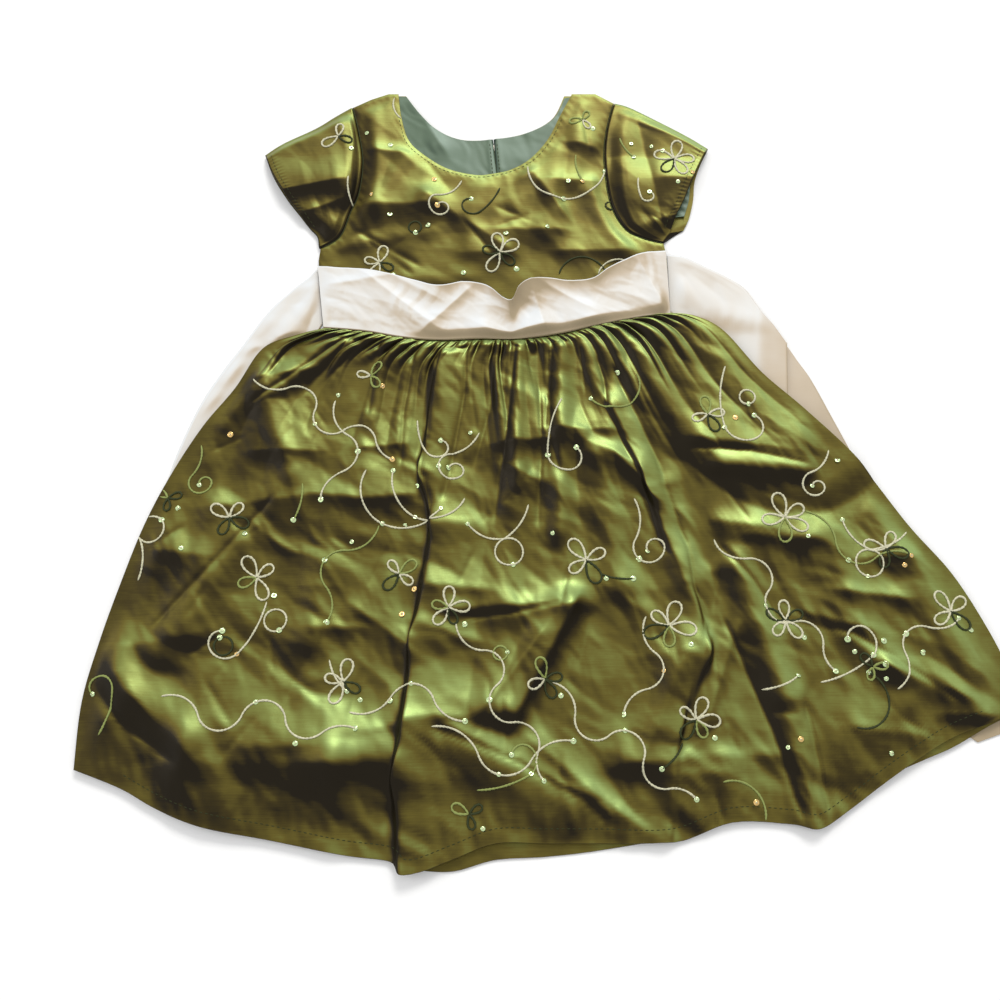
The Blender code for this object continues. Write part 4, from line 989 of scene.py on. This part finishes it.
def make_sash():
    sections = along(SASH, SASH_ALONG, 10)
    waist = spline(WAIST)
    v = np.linspace(0, 1, SASH_ACROSS + 1)[:, None]
    foot_y = np.interp(sections[:, 0], waist[:, 0], waist[:, 1]) + 0.2
    x = sections[None, :, 0] + (sections[None, :, 1] - sections[None, :, 0]) * v
    y = foot_y[None] + (sections[None, :, 2] - foot_y[None]) * v
    swell = (0.45 + 0.3 * smooth(v / 0.2)) * (1 - 0.9 * smooth((v - 0.25) / 0.75))
    z = SASH_LEVEL + sections[None, :, 3] * v ** 2.6 + sections[None, :, 4] * swell
    u = np.linspace(0, 1, SASH_ALONG + 1)[None]
    ends = smooth(u / 0.03) * smooth((1 - u) / 0.03)
    free = smooth(v / 0.15) * ends
    z = z + free * (ridge_rise(x, y, SASH_FOLDS) + 0.7 * crumple(x, y, 24.0, 131))
    z = z + 0.5 + 0.12 * free * crumple(x, y, 7.0, 151)
    z = np.maximum(z, SASH_LEVEL + SHELL_LIFT)
    grid = np.stack([x, y, z], -1)
    rim = [grid[-back] + (0.0, reach, -drop) for back, reach, drop in SASH_RIM]
    foot = []
    for share in (0.0, 0.5):
        row = grid[0].copy()
        row[:, 2] = SASH_LEVEL + share * (row[:, 2] - SASH_LEVEL)
        foot.append(row)
    grid = np.concatenate([foot, grid, rim])
    return piece(grid_mesh("sash_front_cloth", grid, SATIN, False), "sash", "sash_front")


# A step of a tie's path, and its turned side edges. columns: reach inwards, drop
TIE_STEP = 2.2
TIE_ACROSS = 34
TIE_RIM = ((-0.25, 0.2), (0.3, 0.45), (3.0, 0.45))
TIE_LOWEST = 0.1


def towards(start, end):
    way = end - start
    return way / np.maximum(np.linalg.norm(way, axis=1), 1e-9)[:, None]


def make_tie(word, rows, flip):
    path = []
    for k, row in enumerate(rows):
        level = row[4] + 0.6
        path.append((row[0], row[1], row[2], row[3], level))
        if k + 1 < len(rows):
            drop = row[4] - rows[k + 1][4]
            if abs(drop - TUCK_MIDDLE) < 0.01:
                ahead = 1.0 if row[4] > 2.0 else -1.0
                for angle in range(15, 180, 15):
                    turn = math.radians(angle)
                    reach = 0.5 * drop * math.sin(turn) * ahead
                    height = level - 0.5 * drop * (1 - math.cos(turn))
                    path.append((row[0] + reach, row[1], row[2] + reach, row[3], height))
    path = np.array(path)
    fine = []
    for k in range(len(path) - 1):
        gap = math.hypot(path[k + 1, 0] - path[k, 0], path[k + 1, 1] - path[k, 1])
        steps = max(1, int(gap / TIE_STEP))
        a, b, c, d = neighbours(path, k)
        straight = steps < 2 or min(math.dist(a, b), math.dist(c, d)) < 2.5
        for step in range(steps):
            t = step / steps
            fine.append(b + t * (c - b) if straight else curve_point(a, b, c, d, t))
    fine.append(path[-1])
    fine = np.array(fine)
    t = np.linspace(0, 1, TIE_ACROSS + 1)[None]
    x = fine[:, None, 0] + (fine[:, None, 2] - fine[:, None, 0]) * t
    y = fine[:, None, 1] + (fine[:, None, 3] - fine[:, None, 1]) * t
    z = np.repeat(fine[:, 4:5], TIE_ACROSS + 1, 1)
    shown = smooth(t / 0.2) * smooth((1 - t) / 0.2)
    rise = 0.8 + 0.8 * crumple(x, y, 22.0, 171) + 0.6 * np.sin(math.pi * t * 3 + 0.02 * x)
    side, column, low = (-1, 1, 60) if word == "left" else (1, 3, 128)
    edges = np.array(SKIRT_EDGES)[::-1]
    beyond = side * (x - np.interp(y, edges[:, column + 1], edges[:, column]))
    open_air = smooth((beyond - 3) / 10) * smooth((y - low) / 18)
    z = z + np.maximum(0, rise) * shown * open_air
    grid = np.stack([x, y, z], -1)
    ways = (towards(grid[:, 0], grid[:, 1]), towards(grid[:, -1], grid[:, -2]))
    grid = turn_sides(grid, ways, TIE_RIM, TIE_LOWEST)
    return piece(grid_mesh("sash_tie_" + word + "_cloth", grid, SATIN, flip), "sash", "sash_tie_" + word)


# Back zip
ZIP_LOW = 125.5
ZIP_TOP = 292.0
TAPE_STEP = 6.0
TAPE_LEVELS = (0.45, 1.0)
TOOTH_PITCH = 2.2
TOOTH_HALF = 0.9
TOOTH_LENGTH = 1.2
TOOTH_SHIFT = 0.35
TOOTH_LEVELS = (0.06, 0.46)
# columns: half width, lower end and upper end from the zip's top, bottom level, top level
SLIDER_BLOCKS = ((1.6, 0.0, 5.0, 0.06, 1.0), (0.5, 0.8, 4.4, 1.0, 1.35))


def box_faces(first):
    sides = [(0, 3, 2, 1), (4, 5, 6, 7), (0, 1, 5, 4), (1, 2, 6, 5), (2, 3, 7, 6), (3, 0, 4, 7)]
    return [tuple(first + k for k in side) for side in sides]


def block(middle, half, y0, y1, levels, points, faces):
    faces.extend(box_faces(len(points)))
    x0, x1 = middle - half, middle + half
    for z in levels:
        points.extend([(x0, y0, z), (x1, y0, z), (x1, y1, z), (x0, y1, z)])


def make_zip():
    """The zip's tape with its row of crossed teeth underneath, and the slider at its top end."""
    points, faces = [], []
    for y in np.arange(ZIP_LOW, ZIP_TOP - 1.0, TAPE_STEP):
        high = min(ZIP_TOP, y + TAPE_STEP)
        block(split_x(0.5 * (y + high)), ZIP_HALF, y, high, TAPE_LEVELS, points, faces)
    for count, y in enumerate(np.arange(ZIP_LOW + 2.0, ZIP_TOP - 2.0, TOOTH_PITCH)):
        middle = split_x(y) + (TOOTH_SHIFT if count % 2 else -TOOTH_SHIFT)
        block(middle, TOOTH_HALF, y, y + TOOTH_LENGTH, TOOTH_LEVELS, points, faces)
    strip = new_mesh("back_zip_teeth", points, faces, [NYLON], smooth_faces=False)
    piece(strip, "zip_tape", "back_zip")
    points, faces = [], []
    low = ZIP_TOP + SEAM_GAP
    for half, start, end, bottom, top in SLIDER_BLOCKS:
        block(split_x(low), half, low + start, low + end, (bottom, top), points, faces)
    slider = new_mesh("zip_slider_metal", points, faces, [METAL], smooth_faces=False)
    piece(slider, "zip_metal", "zip_slider")


# Embroidery: the flowers stand about where the photo's do, and the scrolls run ways of their own
STITCH = 1.2
# A scroll is a run of arcs. columns: length, turn in degrees
SCROLLS = {
    "wave": ((36, 80), (40, -130), (30, 70)),
    "hook": ((40, 30), (26, 120), (16, 110)),
    "loop": ((34, -50), (58, 340), (30, -60)),
    "ramble": ((30, 90), (34, -140), (36, 150), (30, -120), (20, 60)),
    "curl": ((36, -60), (44, 210), (24, 200)),
    "bow": ((50, 110), (34, 60)),
    "ring": ((44, 360),),
    "stem": ((26, 40),)}
# columns: scroll, thread, x, y, heading in degrees, size, 1 or -1 for its mirror image
SKIRT_SCROLLS = [
    ("ramble", CREAM, -180, 90, -60, 1.0, 1), ("loop", CREAM, -250, -60, 70, 1.0, -1),
    ("wave", CREAM, -120, 75, -110, 0.9, 1), ("bow", CREAM, -95, 20, -120, 1.1, 1),
    ("curl", LEAF, -215, 40, -70, 0.7, 1), ("hook", CREAM, -160, -75, -100, 1.0, -1),
    ("ring", CREAM, -150, -95, 20, 1.1, 1), ("ring", DEEP, -190, -100, 200, 0.9, 1),
    ("ramble", CREAM, -225, -140, 20, 1.1, -1), ("hook", LEAF, -265, -165, 60, 0.8, 1),
    ("wave", CREAM, -100, -150, -20, 0.9, 1), ("stem", CREAM, -115, -115, -80, 1.0, 1),
    ("stem", LEAF, -140, 10, -80, 1.1, -1), ("wave", LEAF, -85, -20, -100, 0.9, -1),
    ("hook", CREAM, -60, 60, -90, 0.7, 1), ("curl", CREAM, -15, 50, -110, 0.8, 1),
    ("bow", CREAM, -25, 0, -110, 1.0, -1), ("loop", CREAM, 20, -5, -100, 1.0, 1),
    ("ramble", CREAM, -30, -90, -90, 1.0, 1), ("wave", CREAM, -45, -160, 10, 1.1, -1),
    ("ramble", CREAM, 35, -130, -10, 1.0, -1), ("ring", LEAF, 5, -110, 90, 0.7, 1),
    ("stem", DEEP, 70, -55, -30, 0.9, 1), ("hook", CREAM, 45, 75, -120, 1.1, 1),
    ("curl", CREAM, 95, 0, -60, 0.9, 1), ("bow", LEAF, 100, 95, -60, 0.7, -1),
    ("wave", CREAM, 100, -85, -120, 0.8, 1), ("hook", CREAM, 165, 100, -110, 1.2, 1),
    ("stem", DEEP, 120, -170, -110, 0.9, -1), ("ring", CREAM, 180, 70, 0, 0.8, 1),
    ("ramble", CREAM, 150, -30, -80, 1.0, 1), ("loop", CREAM, 285, -25, -130, 1.0, 1),
    ("curl", CREAM, 235, 35, -100, 0.7, 1), ("wave", LEAF, 215, -10, -10, 0.9, -1),
    ("hook", CREAM, 215, -130, 10, 1.0, 1), ("wave", CREAM, 265, -135, 30, 0.8, 1),
    ("bow", DEEP, 235, -160, -20, 0.7, 1), ("stem", CREAM, 175, -135, 0, 1.1, 1),
    ("hook", LEAF, -15, -200, 0, 0.9, 1), ("bow", LEAF, 145, -195, 20, 0.8, -1)]
# columns: x, y, turn in degrees, petal length, one letter a petal for its thread
SKIRT_FLOWERS = [
    (-190, -15, 60, 13, "ccdd"), (-168, -58, 30, 14, "cclc"), (-105, -130, 70, 13, "cccd"),
    (-70, -55, 45, 12, "lcdc"), (-35, -80, 85, 12, "clcdc"), (60, -45, 30, 15, "cccd"),
    (115, -92, 60, 15, "ccdlc"), (130, -155, 75, 13, "ccdlc"), (200, -15, 40, 16, "ccclc"),
    (195, -88, 90, 13, "cdccd"), (268, -38, 70, 13, "ccdd"), (308, -82, 40, 14, "cccd"),
    (30, -128, 20, 12, "dlcd"), (150, 62, 15, 12, "clcd"), (-95, 95, 60, 10, "lcl"),
    (-235, 0, 20, 9, "dld"), (-20, -215, 40, 10, "dld"), (250, -120, 10, 9, "ldl")]
BODICE_SCROLLS = [
    ("bow", CREAM, -85, 340, -110, 0.7, 1), ("curl", CREAM, -30, 262, -110, 0.7, 1),
    ("bow", CREAM, 22, 275, -95, 1.1, 1), ("hook", DEEP, 0, 255, -110, 0.7, -1),
    ("ring", DEEP, -65, 215, 0, 0.7, 1), ("bow", DEEP, 45, 180, 80, 0.7, -1),
    ("bow", CREAM, 75, 180, 80, 0.6, -1), ("stem", LEAF, 60, 285, -100, 1.0, 1)]
BODICE_FLOWERS = [(0, 197, 100, 14, "cdcdc"), (-92, 190, 70, 12, "cccd"), (95, 238, 80, 11, "cdlc"),
                  (66, 318, 60, 9, "llc")]
SLEEVE_SCROLLS = [("stem", CREAM, -118, 262, -100, 1.0, 1), ("hook", CREAM, 108, 262, -100, 0.45, 1),
                  ("stem", LEAF, 95, 300, -80, 0.8, 1)]
SLEEVE_FLOWERS = [(137, 280, 10, 15, "cccdc"), (-128, 300, 90, 12, "ccd")]
# columns: scrolls, flowers, loose sequins from x to x and from y to y, sequins, seeds of places and discs
MOTIFS = {
    "skirt": (SKIRT_SCROLLS, SKIRT_FLOWERS, (-270, 330, -225, 105), 108, 41, 42),
    "bodice": (BODICE_SCROLLS, BODICE_FLOWERS, (-110, 85, 180, 330), 26, 43, 44),
    "sleeve": (SLEEVE_SCROLLS, SLEEVE_FLOWERS, (95, 140, 235, 305), 9, 47, 48)}
# How far sewing lies in from the edge of its cloth
HEM_IN, NECK_IN, CUFF_IN, ARMHOLE_IN, BACK_SEAM_IN = 9.0, 2.4, 5.0, 0.75, 0.35
SLIT_SEWN = (298, 284, 268)
THREADS = {"c": CREAM, "d": DEEP, "l": LEAF}
SCROLL_RADIUS, PETAL_RADIUS, SEAM_RADIUS, BACK_SEAM_RADIUS, STITCH_RADIUS = 0.72, 0.8, 0.45, 0.6, 0.26
STEEP_EDGE = 2.0
SEQUIN_RADIUS = 2.1
SEQUIN_SIDES = 10
SEQUIN_ROOM = 9.0
GOLD_SHARE = 0.18


def scroll_path(name, x, y, heading, size, mirror):
    path = [(x, y)]
    angle = math.radians(heading)
    for length, turn in SCROLLS[name]:
        count = max(2, int(length * size / STITCH))
        for _ in range(count):
            angle += mirror * math.radians(turn) / count
            x += STITCH * math.cos(angle)
            y += STITCH * math.sin(angle)
            path.append((x, y))
    return path


def petal_path(x, y, angle, length):
    """One open loop of thread that leaves the flower's middle and comes back to it."""
    count = int(2.5 * length / STITCH)
    path = []
    for k in range(count + 1):
        t = 2 * math.pi * k / count
        out = 0.4 + 0.53 * length * (1 - math.cos(t))
        across = 0.36 * length * math.sin(t) * math.sin(0.5 * t)
        path.append((x + out * math.cos(angle) - across * math.sin(angle),
                     y + out * math.sin(angle) + across * math.cos(angle)))
    return path


def all_threads(scrolls, flowers):
    threads = []
    for name, thread, x, y, heading, size, mirror in scrolls:
        threads.append((thread, SCROLL_RADIUS, scroll_path(name, x, y, heading, size, mirror)))
    for x, y, turn, length, petals in flowers:
        for k, letter in enumerate(petals):
            angle = math.radians(turn + 360.0 * k / len(petals) + 9.0 * math.sin(5.0 * k + x))
            size = length * (1.0 + 0.12 * math.sin(3.0 * k + y))
            threads.append((THREADS[letter], PETAL_RADIUS, petal_path(x, y, angle, size)))
    return threads


def surface_of(*cloths):
    points, faces = [], []
    for cloth in cloths:
        first = len(points)
        points.extend(v.co.copy() for v in cloth.data.vertices)
        faces.extend([first + k for k in p.vertices] for p in cloth.data.polygons)
    return BVHTree.FromPolygons(points, faces)


def cloth_under(surface, x, y):
    """Place and facing of the topmost cloth at a point of the plan."""
    place, facing, _, _ = surface.ray_cast(Vector(to_world((x, y, 60.0))), Vector((0, 0, -1)))
    if place is None:
        return None
    return place.z / MM, np.array(facing)


def runs_on_cloth(surface, path):
    """The route laid on the cloth, parted where it leaves the cloth or crosses a steep edge."""
    runs, run = [], []
    for x, y in path:
        found = cloth_under(surface, x, y)
        if found is None or (run and abs(found[0] - run[-1][0][2]) > STEEP_EDGE):
            runs.append(run)
            run = []
        if found is not None:
            run.append((np.array((x, y, found[0])), found[1]))
    runs.append(run)
    return [r for r in runs if len(r) > 5]


def cord_rings(run, radius, sides):
    points = np.array([r[0] for r in run])
    normals = np.array([r[1] for r in run])
    for _ in range(2):
        normals[1:-1] = (normals[:-2] + normals[1:-1] + normals[2:]) / 3
    normals /= np.linalg.norm(normals, axis=1)[:, None]
    step = np.gradient(points, axis=0)
    side = np.cross(step, normals)
    side /= np.linalg.norm(side, axis=1)[:, None]
    place = np.arange(len(points))
    ends = np.clip(np.minimum(place + 0.3, len(points) - 0.7 - place) / 1.6, 0.1, 1.0)
    uneven = 1 + 0.24 * np.sin(2.9 * place) + 0.12 * np.sin(0.61 * place + points[0, 0])
    thick = (radius * uneven * ends)[:, None, None]
    angle = (2 * math.pi * np.arange(sides) / sides)[None, :, None]
    middle = points + 0.35 * radius * normals
    rings = middle[:, None] + thick * (np.cos(angle) * side[:, None] + 0.7 * np.sin(angle) * normals[:, None])
    return rings.reshape(-1, 3), grid_faces(len(points), sides, True)[:, ::-1]


def lay_cords(name, surface, threads, palette=(DEEP,), sides=5, slot_name="taffeta"):
    """Cords along the routes in threads, each a tuple of material, radius and route."""
    points, faces, tones, total = [], [], [], 0
    for thread, radius, path in threads:
        for run in runs_on_cloth(surface, path):
            rings, quads = cord_rings(run, radius, sides)
            points.append(rings)
            faces.append(quads + total)
            tones.extend([palette.index(thread)] * len(quads))
            total += len(rings)
    made = new_mesh(name, np.vstack(points), np.vstack(faces), palette, tones)
    return piece(made, slot_name)


def sequin_places(scrolls, flowers, box, count, seed):
    """One by each scroll's end and flower, and loose ones between."""
    places = []
    for name, _, x, y, heading, size, mirror in scrolls:
        path = scroll_path(name, x, y, heading, size, mirror)
        places += [path[-1], path[len(path) // 2]] if len(path) > 60 else [path[-1]]
    places += [(x + 0.9 * length, y - 0.9 * length) for x, y, _, length, _ in flowers]
    dice = np.random.default_rng(seed)
    for _ in range(40 * count):
        spot = (dice.uniform(box[0], box[1]), dice.uniform(box[2], box[3]))
        if len(places) >= count:
            break
        if min(math.dist(spot, other) for other in places) > SEQUIN_ROOM:
            places.append(spot)
    return places


def scatter_sequins(name, surface, places, seed):
    """Small cupped discs, each held by a bead in its hole."""
    dice = np.random.default_rng(seed)
    points, faces, tones = [], [], []
    for x, y in places:
        found = cloth_under(surface, x, y)
        if found is None:
            continue
        height, normal = found
        normal = normal + dice.normal(0, 0.16, 3)
        normal /= np.linalg.norm(normal)
        first_way = np.cross(normal, (0.0, 1.0, 0.0))
        first_way /= np.linalg.norm(first_way)
        second_way = np.cross(normal, first_way)
        middle = np.array((x, y, height))
        start = len(points)
        rim = SEQUIN_RADIUS * dice.uniform(0.72, 1.08)
        # Rings from the bead's top out to the disc's turned-down rim. columns: radius, height
        rings = ((0.12, 1.0), (0.55, 0.75), (0.6, 0.42), (0.66 * rim, 0.34), (rim, 0.5), (rim, 0.1))
        for reach, rise in rings:
            for k in range(SEQUIN_SIDES):
                turn = 2 * math.pi * k / SEQUIN_SIDES
                way = math.cos(turn) * first_way + math.sin(turn) * second_way
                points.append(middle + reach * way + rise * normal)
        faces.append(grid_faces(len(rings), SEQUIN_SIDES, True)[:, ::-1] + start)
        disc = 2 if dice.random() < GOLD_SHARE else 0
        tones.extend([1] * (2 * SEQUIN_SIDES) + [disc] * (3 * SEQUIN_SIDES))
    made = new_mesh(name, np.array(points), np.vstack(faces), [SEQUIN, CREAM, GOLD], tones)
    return piece(made, "taffeta")


def stitches(line, length=2.2, pitch=3.6):
    """Short straight dashes along a seam."""
    line = along(line, max(2, int(np.hypot(*np.diff(line, axis=0).T).sum() / 0.4)))
    size = distances(line)
    return [columns_at(line, size, np.linspace(start, start + length, 7))
            for start in np.arange(1.0, size[-1] - pitch, pitch)]


def ornament(word, surface):
    """The embroidery and the sequins of one part of the dress."""
    scrolls, flowers, box, count, places_seed, discs_seed = MOTIFS[word]
    spots = sequin_places(scrolls, flowers, box, count, places_seed)
    threads = all_threads(scrolls, flowers)
    return [lay_cords(word + "_embroidery", surface, threads, (CREAM, LEAF, DEEP)),
            scatter_sequins(word + "_sequins", surface, spots, discs_seed)]


def shifted(line, dx, dy=0.0):
    return [(x + dx, y + dy) for x, y in line]


def seam_cords(name, surface, lines, radius):
    """Closed seams, shown as one dark line of turned-in cloth."""
    return lay_cords(name, surface, [(DEEP, radius, along(line, 110)) for line in lines])


def sew(name, surface, lines, slot_name="taffeta"):
    dashes = [(DEEP, STITCH_RADIUS, dash) for line in lines for dash in stitches(np.array(line))]
    return lay_cords(name, surface, dashes, sides=4, slot_name=slot_name)


# The dress
skirt = make_skirt_front()
skirt_back = make_skirt_back()
bodice, back_left, back_right = make_bodice()
lining_left, lining_right = make_lining()
sleeve_left = make_sleeve(
    "left", ARMHOLE_LEFT, SLEEVE_TOP_LEFT, (CUFF_LEFT, CUFF_LEFT),
    (UNDERARM_LEFT, UNDERARM_LEFT), -1, 0.0, 191)
sleeve_right = make_sleeve(
    "right", ARMHOLE_RIGHT, SLEEVE_TOP_RIGHT, (CUFF_RIGHT_FRONT, CUFF_RIGHT_BACK),
    (UNDERARM_RIGHT_FRONT, UNDERARM_RIGHT_BACK), 1, 1.6, 231)
sleeve_lining = make_sleeve_lining()
sash = make_sash()
tie_left = make_tie("left", TIE_LEFT, True)
tie_right = make_tie("right", TIE_RIGHT, False)
make_zip()


def decorate():
    """Embroidery, sequins and sewing, each lying on the cloth that carries it."""
    on_skirt, on_bodice = surface_of(skirt), surface_of(bodice)
    on_sleeves, on_lining = surface_of(sleeve_left, sleeve_right), surface_of(lining_left, lining_right)
    on_back = surface_of(back_left, back_right)
    hem = [(x, y + HEM_IN) for x, y, _ in HEM[1:-1]]
    neck = [(x - 2.0 if x < -30 else x + 2.0 if x > 20 else x, y - NECK_IN) for x, y in NECK_FRONT[1:-1]]
    cuffs = [shifted(CUFF_LEFT, CUFF_IN, -1.0), shifted(CUFF_RIGHT_FRONT, -CUFF_IN)]
    armholes = [shifted(ARMHOLE_LEFT, ARMHOLE_IN), shifted(ARMHOLE_RIGHT, -ARMHOLE_IN)]
    back_seams = [shifted(ARMHOLE_LEFT, BACK_SEAM_IN), shifted(ARMHOLE_RIGHT, -BACK_SEAM_IN)]
    slit = [[(split_x(y) + side, y) for y in SLIT_SEWN] for side in (-3.2, 2.6)]
    return {
        "skirt": [*ornament("skirt", on_skirt), sew("skirt_hem_stitches", on_skirt, [hem])],
        "bodice": [*ornament("bodice", on_bodice), sew("neck_stitches", on_bodice, [neck]),
                   seam_cords("armhole_seams", on_bodice, armholes, SEAM_RADIUS)],
        "sleeves": [*ornament("sleeve", on_sleeves), sew("cuff_stitches", on_sleeves, cuffs)],
        "back_left": [seam_cords("back_seam_left", on_back, back_seams[:1], BACK_SEAM_RADIUS)],
        "back_right": [seam_cords("back_seam_right", on_back, back_seams[1:], BACK_SEAM_RADIUS)],
        "lining": [sew("slit_stitches", on_lining, slit, "lining")]}


trims = decorate()

# Flat cuts, in metres. Both skirt halves have one cut, and both sleeves another.
# columns: piece, width and length, flat area, how it is held, what it lies on, its trims
SHEETS = (
    (skirt, (0.68, 0.37), 0.222, "gathered", ["skirt_back", "sash_tie_left", "sash_tie_right"],
     trims["skirt"]),
    (skirt_back, (0.68, 0.37), 0.222, "laid", ["sash_tie_left", "sash_tie_right"], []),
    (bodice, (0.27, 0.21), 0.0385, "laid", ["back_lining_left", "back_lining_right"], trims["bodice"]),
    (back_left, (0.14, 0.21), 0.0215, "laid", ["back_zip"], trims["back_left"]),
    (back_right, (0.13, 0.21), 0.019, "laid", ["back_zip"], trims["back_right"]),
    (lining_left, (0.09, 0.095), 0.0042, "laid", ["bodice_back_left"], trims["lining"]),
    (lining_right, (0.075, 0.09), 0.0031, "laid", ["bodice_back_right"], []),
    (sleeve_left, (0.18, 0.085), 0.0122, "laid", ["bodice_back_left"], []),
    (sleeve_right, (0.18, 0.085), 0.0122, "laid", ["bodice_back_right"], trims["sleeves"]),
    (sleeve_lining, (0.06, 0.012), 0.0006, "laid", ["sleeve_right"], []),
    (sash, (0.27, 0.055), 0.0125, "laid", ["bodice_front"], []),
    (tie_left, (0.055, 0.36), 0.0187, "laid", ["skirt_back"], []),
    (tie_right, (0.055, 0.43), 0.0225, "laid", ["skirt_back"], []))
for cloth, flat, flat_area, held, under, sewn_on in SHEETS:
    list(sewn_on)
    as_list(under)


# Stage
FLOOR_HALF = 4000
FLOOR_LEVEL = -0.3
# In metres. columns: name, place, size, power, colour
LIGHTS = (
    ("key", (0.6, 3.2, 2.6), (2.0, 1.2), 100.0, (1.0, 0.99, 0.96)),
    ("side", (-2.8, 0.6, 1.8), (1.0, 2.0), 18.0, (1.0, 1.0, 1.0)))
SKY_STRENGTH = 0.80
CAMERA_AWAY = 0.7636
CAMERA_TILT = 18.0
HALF_VIEW = 25.0
SENSOR = 36.0


def make_stage():
    floor_mat = plain_material("pale_floor", (0.90, 0.90, 0.90), 0.9, speckle=0.01)
    points = [(x * FLOOR_HALF, y * FLOOR_HALF, FLOOR_LEVEL) for x, y in ((-1, -1), (1, -1), (1, 1), (-1, 1))]
    floor = new_mesh("floor", points, [[0, 1, 2, 3]], [floor_mat])

    world = bpy.data.worlds.new("studio")
    bpy.context.scene.world = world
    world.use_nodes = True
    world.node_tree.nodes["Background"].inputs["Color"].default_value = (1.0, 1.0, 1.0, 1.0)
    world.node_tree.nodes["Background"].inputs["Strength"].default_value = SKY_STRENGTH

    for name, place, size, power, colour in LIGHTS:
        light = bpy.data.lights.new(name, "AREA")
        light.shape = "RECTANGLE"
        light.size, light.size_y = size
        light.energy = power
        light.color = colour
        made = bpy.data.objects.new(name, light)
        bpy.context.scene.collection.objects.link(made)
        made.location = place
        made.rotation_mode = "QUATERNION"
        made.rotation_quaternion = (-Vector(place)).to_track_quat("-Z", "Y")
    bpy.context.scene.view_settings.view_transform = "Standard"

    camera_data = bpy.data.cameras.new("camera")
    camera_data.sensor_width = SENSOR
    camera_data.lens = 0.5 * SENSOR / math.tan(math.radians(HALF_VIEW))
    camera_data.clip_start, camera_data.clip_end = 0.01, 50.0
    camera = bpy.data.objects.new("camera", camera_data)
    bpy.context.scene.collection.objects.link(camera)
    tilt = math.radians(CAMERA_TILT)
    aim = Vector((-CENTRE_X * MM, -CENTRE_Y * MM, 0.0))
    back = Vector((0.0, -math.sin(tilt), math.cos(tilt)))
    camera.location = aim + back * CAMERA_AWAY
    camera.rotation_mode = "QUATERNION"
    camera.rotation_quaternion = (-back).to_track_quat("-Z", "Y")
    bpy.context.scene.camera = camera


make_stage()
